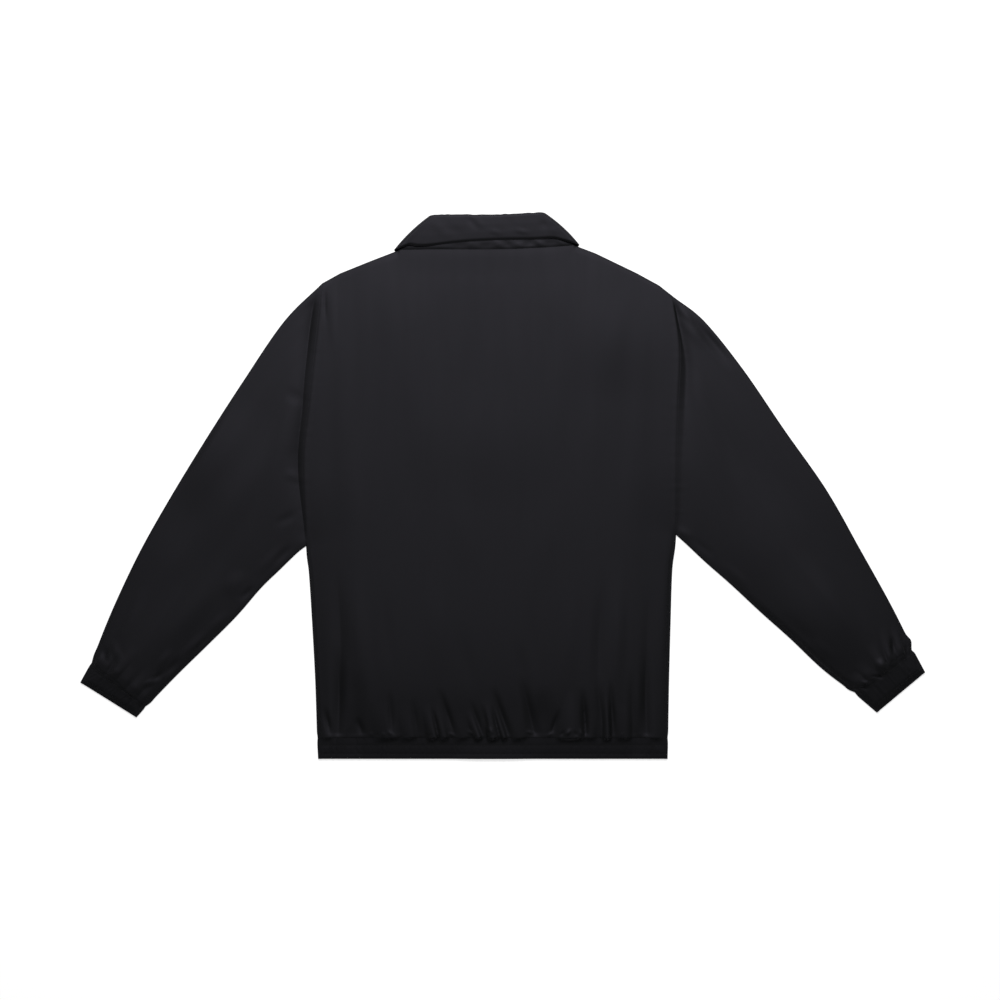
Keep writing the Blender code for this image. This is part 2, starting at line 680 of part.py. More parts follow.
def collar_points(section, turn, inward):
    """The collar's middle surface on one section, from neck seam over the roll to the leaf's edge.

    The turn is -90 degrees on the fronts, 90 on the back and between them round the fold at the side.
    """
    roll, neck, leaf = section[:2], section[2:4], section[4:]
    away = unit(roll - (neck + leaf) / 2)
    side_on = math.cos(turn)
    back_share = (1 + math.sin(turn)) / 2
    neck = neck + inward.neck * STAND_FOLD * (1 - side_on)
    if turn > -math.pi / 2:
        neck[1] = max(neck[1], back_top_y(neck[0]) + SEAM_GAP + COLLAR_CLOTH / 2 * side_on)
    leaf_in = COLLAR_CLOTH / 2 + LEAF_FOLD * (1 - side_on)
    stand_in = STAND_INSET + STAND_FOLD * (1 - side_on)
    stand_top = roll - away * ROLL_BULGE + inward.roll * stand_in
    leaf_top = roll - away * ROLL_BULGE + inward.roll * leaf_in
    leaf = leaf + inward.leaf * leaf_in
    front_z = COLLAR_LIFT + CLOTH / 2
    neck_z = front_z + (upper_z(*neck) - CLOTH / 2 - front_z) * back_share
    stand_z = front_z + (STAND_TOP_Z - front_z) * back_share
    leaf_z = COLLAR_CLOTH / 2 + (LEAF_Z - COLLAR_CLOTH / 2) * back_share
    crown = LEAF_CROWN * max(math.sin(turn), 0)
    neck, stand_top = np.array([*neck, neck_z]), np.array([*stand_top, stand_z])
    leaf_top, leaf = np.array([*leaf_top, leaf_z]), np.array([*leaf, leaf_z])
    middle, half = (stand_top + leaf_top) / 2, (leaf_top - stand_top) / 2
    bulge = np.array([*away, 0]) * (ROLL_BULGE - COLLAR_CLOTH / 2)
    rolled = [middle - half * math.cos(a) + bulge * math.sin(a) for a in ROLL_ANGLES]
    fall = [mix(leaf_top, leaf, step.share) + np.array([0, 0, crown * step.crown]) for step in LEAF_STEPS]
    return [neck, mix(neck, stand_top, 0.5), stand_top, *rolled, *fall]


def collar_fronts(side, front, fold_row, inward):
    """Sections on one front, from its end at the centre front to the fold at the side."""
    rows = []
    for share in FRONT_STATIONS:
        bend = (CENTRE_X + side * ROLL_FRONT_CURVE.x, ROLL_FRONT_CURVE.y)
        roll = bezier(front[:2], bend, fold_row[:2], share)
        neck_end = front_neck_point(side, 1 - share) + np.array([-side * NECK_GAP, NECK_GAP])
        near_fold = ease((share - 1) / FOLD_BLEND + 1)
        neck = mix(neck_end, fold_row[2:4], near_fold)
        neck[0] = max(neck[0] * side, front[2] * side) * side
        neck[1] = max(neck[1], front_top_y(side, neck[0]) + NECK_GAP)
        leaf = mix(front[4:], fold_row[4:], share)
        section = np.array([*roll, *neck, *leaf])
        rows.append(collar_points(section, -math.pi / 2, scaled(inward, near_fold, ease(share))))
    return rows


def collar_fold(fold_row, front, back):
    """Sections round the fold at one side, from the front to the back."""
    rows = []
    for turn in FOLD_ANGLES:
        share = (1 + math.sin(turn)) / 2
        inward = added(scaled(front, 1 - share, 1 - share), scaled(back, share, share))
        rows.append(collar_points(np.array(fold_row), turn, inward))
    return rows


def collar_surface():
    """Rows of the collar's middle surface, from the left front end round the back to the right one."""
    left, right = COLLAR_BACK[0], COLLAR_BACK[-1]
    left_front, left_back = fold_inward(left, COLLAR_BACK[1])
    right_front, right_back = fold_inward(right, COLLAR_BACK[-2])
    rows = collar_fronts(-1, COLLAR_FRONT_LEFT, np.array(left), left_front)
    rows += collar_fold(left, left_front, left_back)
    for k in range(BACK_STATIONS):
        share = k / (BACK_STATIONS - 1)
        section = spline(COLLAR_BACK, share * (len(COLLAR_BACK) - 1))
        from_left, from_right = ease(1 - share / FOLD_BLEND), ease((share - 1) / FOLD_BLEND + 1)
        inward = added(scaled(left_back, from_left, from_left), scaled(right_back, from_right, from_right))
        rows.append(collar_points(section, math.pi / 2, inward))
    rows += collar_fold(right, right_front, right_back)[::-1]
    return np.array(rows + collar_fronts(1, COLLAR_FRONT_RIGHT, np.array(right), right_front)[::-1])


def build_collar():
    """The collar's wall, half its cloth to each side of its middle surface."""
    surface = collar_surface()
    along = np.gradient(surface, axis=0)
    over = np.gradient(surface, axis=1)
    normal = np.cross(along, over)
    normal /= np.linalg.norm(normal, axis=2)[:, :, None]
    half = COLLAR_CLOTH / 2
    return wall("collar", surface + normal * half, surface - normal * half, PANEL_CLOTH)


def build_snaps():
    """Plain snap caps under the outer front, on the centre front."""
    for k in range(SNAP_COUNT):
        y = SNAP_TOP_Y - k * SNAP_SPACING
        maker = bmesh.new()
        bmesh.ops.create_cone(
            maker,
            cap_ends=True,
            segments=SNAP_SIDES,
            radius1=SNAP_RADIUS * SNAP_TAPER,
            radius2=SNAP_RADIUS,
            depth=SNAP_HEIGHT,
        )
        z = front_lift(CENTRE_X, y) - SEAM_GAP - SNAP_HEIGHT / 2
        bmesh.ops.translate(maker, vec=(CENTRE_X, y, z), verts=maker.verts)
        add_object(f"snap_{k + 1}", maker, SNAP_FINISH)


def build_jacket():
    for existing in list(bpy.data.objects):
        bpy.data.objects.remove(existing)
    build_back()
    build_hem_back()
    build_fronts()
    build_sleeves()
    build_collar()
    build_snaps()


build_jacket()
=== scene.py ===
"""The look of a light black nylon jacket that lies flat with its back up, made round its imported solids.

Lengths are in millimetres and become metres when a mesh is made. +X runs to the right of someone who looks
down on the back with the collar away from them, +Y from hem to collar, and +Z up from the table.
"""

import math
from collections import namedtuple
from functools import partial

import bmesh
import bpy
import numpy as np
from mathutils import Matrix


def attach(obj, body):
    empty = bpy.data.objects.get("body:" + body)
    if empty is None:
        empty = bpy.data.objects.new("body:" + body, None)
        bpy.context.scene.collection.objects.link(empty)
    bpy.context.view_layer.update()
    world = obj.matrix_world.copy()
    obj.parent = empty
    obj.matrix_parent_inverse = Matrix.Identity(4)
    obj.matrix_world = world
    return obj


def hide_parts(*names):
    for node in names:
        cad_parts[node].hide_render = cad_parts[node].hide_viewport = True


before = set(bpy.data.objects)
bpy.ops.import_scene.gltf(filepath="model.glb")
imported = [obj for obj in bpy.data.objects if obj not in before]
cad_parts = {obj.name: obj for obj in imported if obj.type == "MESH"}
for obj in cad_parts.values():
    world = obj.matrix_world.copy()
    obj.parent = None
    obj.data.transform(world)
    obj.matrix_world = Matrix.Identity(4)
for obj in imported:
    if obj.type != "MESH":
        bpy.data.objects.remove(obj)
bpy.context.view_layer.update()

METRES = 0.001
BODY_NAME = "root"
SIDES = ((-1, "left"), (1, "right"))

# Cloth of the panels, the doubled cloth of the bands and collar, and how the layers lie on each other
PANEL_THICK = 0.7
BAND_THICK = 1.2
COLLAR_THICK = 1.2
LAYER = 1.6
LAYER_GAP = 0.4
SEAM_GAP = 0.3
SEAM_TUCK = 2.0
SEAM_TUCK_SLOPE = 0.7
FOLD_RADIUS = LAYER + LAYER_GAP / 2
FOLD_REACH = 4.0
FOLD_ANGLES = np.radians((0, 15, 30, 45, 60, 75, 90))
LOFT = 3.5
LOFT_RUN = 110.0
LOFT_POWER = 2.0
FOLD_FADE = 12.0
CURVE_STEPS = 60
LEVEL_STEPS = 10
SOFT_POWER = 4
TINY = 1e-9

# The outline of the body from hem to shoulder, one row for each level across it
BodySection = namedtuple("BodySection", "left_x left_y right_x right_y")
BODY = (
    BodySection(-266.8, -395.2, 238.5, -395.2),
    BodySection(-268.3, -364.7, 239.3, -364.7),
    BodySection(-271.0, -282.0, 240.7, -282.0),
    BodySection(-275.5, -198.0, 242.9, -198.0),
    BodySection(-280.0, -128.0, 245.4, -122.0),
    BodySection(-284.2, -87.7, 250.8, -71.8),
    BodySection(-288.6, 35.0, 251.6, 45.0),
    BodySection(-280.0, 118.0, 253.8, 118.0),
    BodySection(-271.0, 199.0, 256.7, 199.0),
    BodySection(-261.0, 292.2, 246.5, 273.3),
)
HEM_SEAM, UNDERARM, SHOULDER = 1, 5, 9
HEM_Y = BODY[HEM_SEAM].left_y
HEM_EDGE_Y = BODY[0].left_y

# The top of the back: shoulder, neck and shoulder again, from left to right
TopPoint = namedtuple("TopPoint", "x y")
BACK_TOP = (
    TopPoint(-261.0, 292.2),
    TopPoint(-234.9, 306.7),
    TopPoint(-191.4, 324.0),
    TopPoint(-149.4, 340.0),
    TopPoint(-98.9, 340.6),
    TopPoint(-29.6, 340.3),
    TopPoint(16.7, 341.0),
    TopPoint(62.9, 343.4),
    TopPoint(104.4, 346.6),
    TopPoint(133.4, 335.7),
    TopPoint(194.3, 306.7),
    TopPoint(226.2, 289.3),
    TopPoint(246.5, 273.3),
)
NECK_LEFT, NECK_RIGHT = BACK_TOP[3], BACK_TOP[8]
NECK_ENDS = {-1: NECK_LEFT, 1: NECK_RIGHT}

# Sleeves from armhole to cuff seam, one row for each section, then the open end of the cuff
SleeveSection = namedtuple("SleeveSection", "outer_x outer_y under_x under_y")
LEFT_SLEEVE = (
    SleeveSection(-261.0, 292.2, -284.2, -87.7),
    SleeveSection(-316.1, 237.1, -297.2, -97.9),
    SleeveSection(-375.6, 150.1, -321.9, -121.8),
    SleeveSection(-430.6, 64.5, -349.4, -148.6),
    SleeveSection(-484.3, -23.9, -383.7, -188.2),
    SleeveSection(-526.4, -99.3, -423.2, -227.8),
    SleeveSection(-564.0, -179.1, -469.8, -273.3),
    SleeveSection(-594.5, -254.5, -514.8, -319.7),
)
LEFT_CUFF_END = SleeveSection(-611.2, -284.9, -529.2, -335.7)
RIGHT_SLEEVE = (
    SleeveSection(246.5, 273.3, 250.8, -71.8),
    SleeveSection(291.6, 237.6, 266.8, -86.3),
    SleeveSection(348.0, 167.5, 294.4, -112.2),
    SleeveSection(407.4, 80.5, 330.4, -143.8),
    SleeveSection(468.3, -6.5, 372.9, -183.4),
    SleeveSection(517.6, -93.5, 415.9, -221.8),
    SleeveSection(561.1, -171.8, 461.9, -265.4),
    SleeveSection(593.0, -235.6, 507.1, -299.9),
)
RIGHT_CUFF_END = SleeveSection(610.4, -268.4, 539.4, -327.6)
SLEEVES = {-1: LEFT_SLEEVE, 1: RIGHT_SLEEVE}
CUFF_ENDS = {-1: LEFT_CUFF_END, 1: RIGHT_CUFF_END}
ARMHOLE_BOW_END = 0.5
TUCK_SQUEEZE = 0.6
CUFF_LENGTHENED = {-1: -0.4, 1: 1.5}

# Centre front, where the left front lies outside the right one
CENTRE_X = -16.0
OVERLAP = 30.0
OVERLAP_RUN = 20.0
BACK_OVERLAP_RUN = 55.0
FRONT_NECK_Y = 243.0
FRONT_NECK_CURVE = TopPoint(94.0, 262.0)
SNAP_HEIGHT = 1.2
SNAP_TOP_Y = 222.0
SNAP_SPACING = 120.0
SNAP_COUNT = 5
SNAP_LIFT = SNAP_HEIGHT + SEAM_GAP
PLACKET_RUN = 15.0
PLACKET_END_Y = -340.0

# The collar, one row for each section from the left front end round the back to the right front end
CollarSection = namedtuple("CollarSection", "roll_x roll_y neck_x neck_y leaf_x leaf_y")
COLLAR_FRONT = {
    -1: CollarSection(-19.0, 269.0, -19.0, 243.0, -78.3, 231.3),
    1: CollarSection(-13.0, 269.0, -13.0, 243.0, 46.3, 231.3),
}
COLLAR_BACK = (
    CollarSection(-105.5, 390.2, -147.4, 341.9, -157.6, 339.6),
    CollarSection(-90.0, 390.6, -131.0, 341.0, -139.0, 345.4),
    CollarSection(-70.0, 390.9, -110.0, 340.6, -112.0, 345.4),
    CollarSection(-45.0, 391.0, -70.0, 340.5, -64.0, 350.2),
    CollarSection(-17.0, 390.9, -22.0, 340.4, -17.4, 353.0),
    CollarSection(16.0, 392.0, 30.0, 341.8, 39.0, 354.6),
    CollarSection(38.0, 393.1, 70.0, 343.9, 78.0, 355.2),
    CollarSection(61.0, 394.2, 102.6, 348.3, 111.6, 347.2),
)
ROLL_FRONT_CURVE = TopPoint(59.0, 300.0)
NECK_GAP = 0.6
COLLAR_LAYER = 1.6
COLLAR_LIFT = COLLAR_LAYER + 1.0
COLLAR_LIFT_HALF_WIDTH = 145.0
COLLAR_LIFT_RUN = 85.0
COLLAR_LIFT_Y = 195.0
COLLAR_LIFT_RUN_Y = 110.0
BACK_LIFT_Y = 300.0
BACK_LIFT_RUN_Y = 460.0
ROLL_BULGE = 3.0
STAND_INSET = 4.0
STAND_FOLD = 2.5
STAND_TOP_Z = 7.5
LEAF_FOLD = 5.0
LEAF_Z = 11.5
LEAF_CROWN = 0.6
LEAF_RISE = 1.3
LEAF_CROWN_SHARES = (0.0, 0.33, 0.67, 1.0)
LEAF_CROWN_HEIGHTS = (0.4, 1.0, 0.8, 0.0)
FOLD_BLEND = 0.25
SIDE_BOW = {-1: 2.4, 1: 2.6}
STAND_CROWN = 1.8
STAND_CROWN_SHARES = (0.0, 0.12, 0.35, 0.7, 1.0)
STAND_CROWN_HEIGHTS = (0.0, 0.5, 1.0, 0.8, 0.0)
COLLAR_TURNS = np.radians((-72, -54, -36, -18, 0, 18, 36, 54, 72))
ROLL_ANGLES = np.radians((15, 35, 55, 75, 90, 105, 125, 145, 165))
STAND_POINTS = 14
STAND_TUCK = 1.2
LEAF_POINTS = 26
LEAF_CROWDING = 1.6
LEAF_EDGE_DROP = 1.2
LEAF_EDGE_RUN = 2.4
COLLAR_FRONT_STATIONS = 16
COLLAR_BACK_STATIONS = 120

# Uneven waves: two lengths that show, and a slow one by which they wander and swell
Waves = namedtuple("Waves", "first second slow")
RIPPLE_SHARE = 0.6
RIPPLE_SECOND_START = 0.7
RIPPLE_WANDER = 1.9
RIPPLE_BEAT = 0.45
RIPPLE_BEAT_LENGTH = 0.62
RIPPLE_BEAT_START = 1.3

# Gathers above the hem band. Lean is in degrees, with tops to the left where it is positive; side says which
# flank is steep, and spread how much wider a gather is at its end than at its seam
Gather = namedtuple("Gather", "across lean reach width height side spread")
HEM_GATHERS = (
    Gather(-255.0, 1, 70, 12, 0.9, 0.3, 0.3),
    Gather(-167.0, 5, 56, 21, 2.0, 0.7, 0.0),
    Gather(-137.0, 7, 50, 14, 1.8, 0.6, 0.0),
    Gather(-101.5, 10, 52, 9, 3.0, 0.7, 0.0),
    Gather(-85.0, 16, 54, 8, 2.6, 0.2, 0.0),
    Gather(-58.0, 14, 38, 13, 1.2, 0.0, 0.3),
    Gather(-35.5, 20, 44, 7, 2.8, 0.4, 0.0),
    Gather(-13.0, 13, 60, 10, 3.6, -0.3, -0.2),
    Gather(2.0, 18, 46, 5.5, 2.4, 0.3, 0.0),
    Gather(25.0, 12, 46, 14, 1.6, -0.3, 0.2),
    Gather(98.6, 1, 72, 23, 3.5, 0.2, -0.75),
    Gather(127.0, 3, 38, 9, 1.5, 0.0, 0.2),
    Gather(150.5, 1, 62, 7, 3.4, 0.4, -0.2),
    Gather(174.0, 1, 50, 13, 1.8, 0.5, 0.2),
    Gather(222.0, 1, 74, 12, 1.2, -0.2, 0.2),
)
# Gathers above a cuff: across is the share of the way from the under edge to the outer one
CUFF_GATHERS = {
    -1: (
        Gather(0.10, 6, 30, 8, 1.5, 0.4, 0.1),
        Gather(0.27, -8, 50, 10, 1.9, -0.4, 0.2),
        Gather(0.46, 4, 34, 9, 1.5, 0.5, 0.2),
        Gather(0.63, -4, 62, 9, 1.9, -0.2, 0.1),
        Gather(0.80, 3, 40, 8, 1.9, 0.5, 0.0),
        Gather(0.92, -3, 28, 6, 1.5, 0.3, 0.0),
    ),
    1: (
        Gather(0.14, -5, 26, 10, 2.0, 0.4, 0.1),
        Gather(0.32, 7, 34, 9, 1.4, -0.4, 0.2),
        Gather(0.50, -14, 46, 11, 2.4, 0.5, -0.2),
        Gather(0.66, -24, 58, 8, 2.2, -0.5, 0.0),
        Gather(0.81, -26, 50, 7, 2.0, 0.4, 0.0),
        Gather(0.93, -24, 34, 6, 1.9, 0.2, 0.0),
    ),
}
GATHER_GAIN = 1.4
GATHER_SKEW = 0.6
GATHER_POWER = 1.25
GATHER_FADE_POWER = 1.5
BAND_FADE = 6.5
SEAM_HOLD = 8.0
CUFF_HOLD = 0.35
CUFF_HOLD_RUN = 15.0
HEM_GROOVE = 0.1
HEM_GROOVE_RUN = 3.0
HEM_GROOVE_UNEVEN = 0.35
HEM_GROOVE_WAVES = Waves(19.0, 31.0, 83.0)
BLOUSE = 4.5
BLOUSE_RISE = 60.0
BLOUSE_RUN = 220.0
BLOUSE_HALF_WIDTH = 275.0
BLOUSE_SIDE_RUN = 80.0
NECK_DIP = 0.25
NECK_DIP_RUN = 6.0
NECK_DIP_FADE = 30.0

# Creases of the upper side: middle, lean, half length, half width, height, how crisp, and sideways bend.
# A negative height is a trough
Crease = namedtuple("Crease", "x y lean reach width height crisp bend")
BACK_CREASES = (
    Crease(-255.0, -235.0, 1, 130, 12, 0.3, 0.0, 3),
    Crease(-234.0, -226.0, 1, 120, 15, -1.7, 0.6, -4),
    Crease(-206.0, -225.0, 3, 115, 20, 1.2, 0.0, 5),
    Crease(-166.0, -214.0, 4, 70, 15, -0.5, 0.1, 3),
    Crease(-96.0, -205.0, 2, 84, 22, 0.5, 0.0, -6),
    Crease(44.0, -230.0, 3, 80, 16, -0.5, 0.1, 4),
    Crease(96.0, -226.0, -2, 92, 18, 0.6, 0.0, -4),
    Crease(139.0, -236.0, -1, 115, 16, -1.8, 0.5, 4),
    Crease(166.0, -220.0, -2, 120, 16, 1.2, 0.0, -5),
    Crease(208.0, -240.0, -1, 100, 12, -0.7, 0.5, 3),
    Crease(227.0, -235.0, -1, 125, 11, 0.3, 0.0, -3),
    Crease(-257.0, 262.0, 2, 32, 4.5, -0.9, 0.5, 1),
    Crease(-246.0, 246.0, 1, 60, 9, 0.5, 0.0, 1),
    Crease(-226.0, 60.0, 2, 230, 27, 0.8, 0.0, 6),
    Crease(-178.0, 120.0, -3, 190, 30, -0.6, 0.0, -8),
    Crease(-124.0, 150.0, 4, 180, 36, 0.7, 0.0, 9),
    Crease(-62.0, 96.0, -3, 210, 32, -0.6, 0.0, -7),
    Crease(28.0, 165.0, 3, 165, 38, 0.6, 0.0, 8),
    Crease(112.0, 150.0, -5, 190, 34, -0.7, 0.0, -9),
    Crease(164.0, 216.0, -14, 110, 26, 0.35, 0.0, 6),
    Crease(196.0, 60.0, -2, 230, 28, 0.7, 0.0, -6),
    Crease(-60.0, -60.0, 8, 90, 30, 0.5, 0.0, 5),
    Crease(60.0, -84.0, -9, 100, 30, 0.5, 0.0, -5),
    Crease(-52.0, -254.0, 10, 60, 18, -0.5, 0.3, 2),
    Crease(30.0, -268.0, 11, 54, 15, -0.7, 0.4, 2),
    Crease(170.0, 205.0, 80, 100, 88, 1.5, 0.0, 0),
    Crease(-30.0, 60.0, 84, 150, 100, 1.0, 0.0, 10),
    Crease(-214.0, -356.0, 2, 50, 20, -1.3, 0.0, 0),
    Crease(46.0, -352.0, 8, 44, 22, -0.9, 0.0, 0),
    Crease(196.0, -356.0, 1, 54, 18, -1.2, 0.0, 0),
    Crease(240.0, -220.0, 0, 230, 36, 1.2, 0.0, 0),
    Crease(-40.0, 354.0, 90, 190, 54, 1.3, 0.0, 0),
)
# The dark creases between gathers, from just above the hem seam upwards
HEM_CREASES = (
    Crease(-236.4, -310.0, 0, 84, 15, -4.0, 0.8, -2),
    Crease(-212.0, -322.0, 2, 62, 26, -1.8, 0.3, 0),
    Crease(-206.0, -349.0, 20, 18, 9, -1.6, 0.8, 0),
    Crease(-252.5, -343.0, 12, 26, 8, -2.4, 0.8, 0),
    Crease(-161.0, -334.0, 4, 42, 9, -2.1, 0.8, 1),
    Crease(-126.5, -336.0, 8, 33, 9, -1.3, 0.8, 1),
    Crease(-97.0, -342.0, 14, 25, 6, -1.6, 0.9, 0),
    Crease(-79.5, -331.0, 19, 45, 9, -2.7, 0.9, 1),
    Crease(-37.5, -337.0, 18, 32, 7, -1.8, 0.9, 0),
    Crease(-25.0, -338.0, 12, 23, 5.5, -1.3, 0.9, 0),
    Crease(-10.0, -340.0, 14, 25, 5.5, -1.7, 0.9, 0),
    Crease(-1.5, -331.0, 19, 46, 9.5, -3.0, 0.9, 1),
    Crease(38.5, -328.0, 13, 58, 13, -4.0, 0.8, 1),
    Crease(58.0, -332.0, 6, 44, 24, -1.6, 0.2, 0),
    Crease(75.5, -344.0, -18, 25, 7, -2.3, 0.9, 0),
    Crease(118.5, -334.0, 5, 45, 8.5, -3.8, 0.9, 0),
    Crease(141.0, -324.0, 6, 50, 10, -2.0, 0.8, 0),
    Crease(158.0, -327.0, 4, 49, 8.5, -3.1, 0.9, 1),
    Crease(187.0, -324.0, 1, 62, 11, -1.7, 0.8, 0),
    Crease(206.5, -312.0, 1, 80, 14, -3.4, 0.8, 2),
)
# Small puckers beside the hem seam
SEAM_MARKS = (
    Crease(-189.0, -361.0, 20, 7, 3.5, 0.9, 0.3, 0),
    Crease(-182.0, -362.0, -10, 6, 3.0, -0.9, 0.4, 0),
    Crease(-171.0, -361.0, 30, 7, 3.5, 0.9, 0.3, 0),
    Crease(-161.0, -359.0, 35, 9, 4.0, 1.2, 0.3, 0),
    Crease(-148.0, -362.0, -20, 6, 3.0, 0.7, 0.3, 0),
    Crease(-137.0, -363.0, 60, 7, 3.0, -0.8, 0.4, 0),
    Crease(-117.0, -363.0, 10, 6, 3.0, 0.8, 0.3, 0),
    Crease(-104.0, -362.0, -30, 6, 3.0, -0.7, 0.4, 0),
    Crease(-89.0, -363.0, 20, 6, 3.0, 0.8, 0.3, 0),
    Crease(-73.0, -361.0, 50, 8, 4.0, 1.2, 0.3, 0),
    Crease(-58.0, -364.0, 70, 8, 3.0, -0.7, 0.4, 0),
    Crease(-45.0, -358.0, 46, 9, 4.0, 1.1, 0.3, 0),
    Crease(-17.0, -354.0, 28, 8, 4.0, 0.9, 0.2, 0),
    Crease(40.0, -357.0, 66, 9, 4.0, 1.1, 0.3, 0),
    Crease(54.0, -363.0, 80, 9, 3.0, -0.7, 0.4, 0),
    Crease(68.0, -361.0, -40, 9, 4.0, 1.3, 0.3, 0),
    Crease(86.0, -359.0, -30, 8, 3.5, -1.2, 0.4, 0),
    Crease(94.0, -357.0, -36, 9, 4.5, 1.3, 0.2, 0),
    Crease(106.0, -360.0, 24, 8, 3.5, -1.1, 0.4, 0),
    Crease(114.0, -358.0, 12, 9, 4.0, 1.2, 0.2, 0),
    Crease(172.0, -362.0, -14, 7, 3.0, 0.8, 0.3, 0),
    Crease(199.0, -362.0, 12, 7, 3.0, 0.7, 0.3, 0),
)
SLEEVE_CREASES = (
    Crease(-402.0, -36.0, -34, 130, 38, 1.2, 0.0, 8),
    Crease(-366.0, 50.0, -32, 150, 34, -0.8, 0.0, -8),
    Crease(-318.0, 60.0, -14, 150, 22, 0.8, 0.0, 8),
    Crease(-470.0, -150.0, -35, 120, 34, -0.9, 0.0, 6),
    Crease(-440.0, -176.0, -38, 90, 22, 0.8, 0.0, -6),
    Crease(-540.0, -200.0, -26, 70, 14, 0.8, 0.0, -3),
    Crease(-318.0, -100.0, -47, 24, 9, -0.7, 0.1, 2),
    Crease(-336.0, -108.0, -45, 34, 11, 0.5, 0.0, 2),
    Crease(-388.0, -142.0, -34, 26, 18, 0.8, 0.0, 3),
    Crease(-368.0, -156.0, -48, 18, 9, -0.9, 0.1, 0),
    Crease(-412.0, -199.0, -42, 28, 11, 0.6, 0.0, 1),
    Crease(-446.0, -231.0, -45, 34, 10, 0.7, 0.0, 1),
    Crease(-436.0, -231.0, -44, 30, 7, -0.6, 0.2, 0),
    Crease(-477.0, -262.0, -40, 20, 9, -1.0, 0.3, 0),
    Crease(-489.0, -252.0, -32, 22, 9, 0.8, 0.1, 0),
    Crease(-498.0, -276.0, -50, 17, 7, -0.9, 0.3, 0),
    Crease(-508.0, -284.0, -62, 15, 7, 0.8, 0.1, 0),
    Crease(-558.0, -240.0, 20, 22, 10, 0.6, 0.0, 0),
    Crease(-574.0, -246.0, 10, 18, 8, -0.8, 0.1, 0),
    Crease(-586.0, -250.0, -4, 16, 7, 0.5, 0.0, 0),
    Crease(-300.0, 128.0, 58, 20, 14, -0.6, 0.0, 0),
    Crease(-302.0, 14.0, 76, 18, 11, 0.5, 0.0, 0),
    Crease(-312.0, -48.0, -60, 24, 10, -0.6, 0.0, 0),
    Crease(392.0, -30.0, 37, 130, 36, 0.7, 0.0, -8),
    Crease(342.0, 36.0, 33, 150, 34, -0.8, 0.0, 8),
    Crease(300.0, 70.0, 14, 150, 22, 0.8, 0.0, -8),
    Crease(462.0, -150.0, 38, 105, 24, 0.6, 0.0, -6),
    Crease(502.0, -168.0, 34, 80, 20, -0.8, 0.0, -4),
    Crease(430.0, -214.0, 46, 44, 17, -0.6, 0.0, 2),
    Crease(462.0, -236.0, 48, 34, 13, 0.5, 0.0, 0),
    Crease(304.0, 208.0, 40, 54, 15, -2.1, 0.1, 0),
    Crease(276.0, 222.0, 34, 34, 13, 0.9, 0.0, 0),
    Crease(266.0, 247.0, 38, 22, 9, 1.0, 0.1, 0),
    Crease(262.0, -70.0, 68, 18, 9, 0.5, 0.0, 0),
    Crease(290.0, -90.0, 52, 24, 8, -0.35, 0.1, 0),
    Crease(338.0, -130.0, 48, 36, 9, 0.35, 0.0, 0),
    Crease(548.0, -261.0, 20, 15, 12, 1.9, 0.0, 0),
    Crease(541.0, -276.0, 84, 11, 4, -1.4, 0.4, 0),
    Crease(525.0, -285.0, 74, 11, 5, 1.2, 0.2, 0),
    Crease(519.0, -292.0, 80, 12, 3.5, -1.2, 0.4, 0),
    Crease(563.0, -234.0, 4, 18, 6, -1.5, 0.3, 0),
    Crease(584.0, -236.0, 8, 15, 5, -1.3, 0.3, 0),
    Crease(410.0, -80.0, -51, 90, 90, 0.6, 0.0, 0),
    Crease(462.0, -192.0, -51, 92, 104, 2.2, 0.0, 0),
    Crease(480.0, -210.0, -51, 96, 290, 4.4, 0.0, 0),
    Crease(-532.0, -254.0, 51, 80, 200, 2.8, 0.0, 0),
    Crease(-415.0, 46.0, 51, 92, 96, 2.1, 0.0, 0),
    Crease(-446.0, -58.0, 51, 80, 72, -0.9, 0.0, 0),
)
# Creases of the fronts, which lie on the table, so that all of them rise from it
FRONT_CREASES = (
    Crease(-210.0, -150.0, 4, 150, 22, 0.9, 0.0, 6),
    Crease(-130.0, -230.0, -3, 110, 16, 0.8, 0.1, -5),
    Crease(-180.0, 80.0, -8, 140, 24, 1.0, 0.0, 8),
    Crease(-90.0, 20.0, 6, 120, 18, 0.8, 0.0, 5),
    Crease(-250.0, 30.0, 3, 110, 14, 0.8, 0.1, -4),
    Crease(-120.0, 150.0, 22, 80, 14, 0.8, 0.1, 4),
    Crease(180.0, -140.0, -4, 150, 22, 0.9, 0.0, -6),
    Crease(100.0, -220.0, 3, 110, 16, 0.8, 0.1, 5),
    Crease(150.0, 90.0, 8, 140, 24, 1.0, 0.0, -8),
    Crease(70.0, 10.0, -5, 120, 18, 0.8, 0.0, -5),
    Crease(216.0, 40.0, -3, 110, 14, 0.8, 0.1, 4),
    Crease(90.0, 150.0, -20, 80, 14, 0.8, 0.1, -4),
)
FRONT_GATHER_SHARE = 0.5
FRONT_FADE_START = 0.5

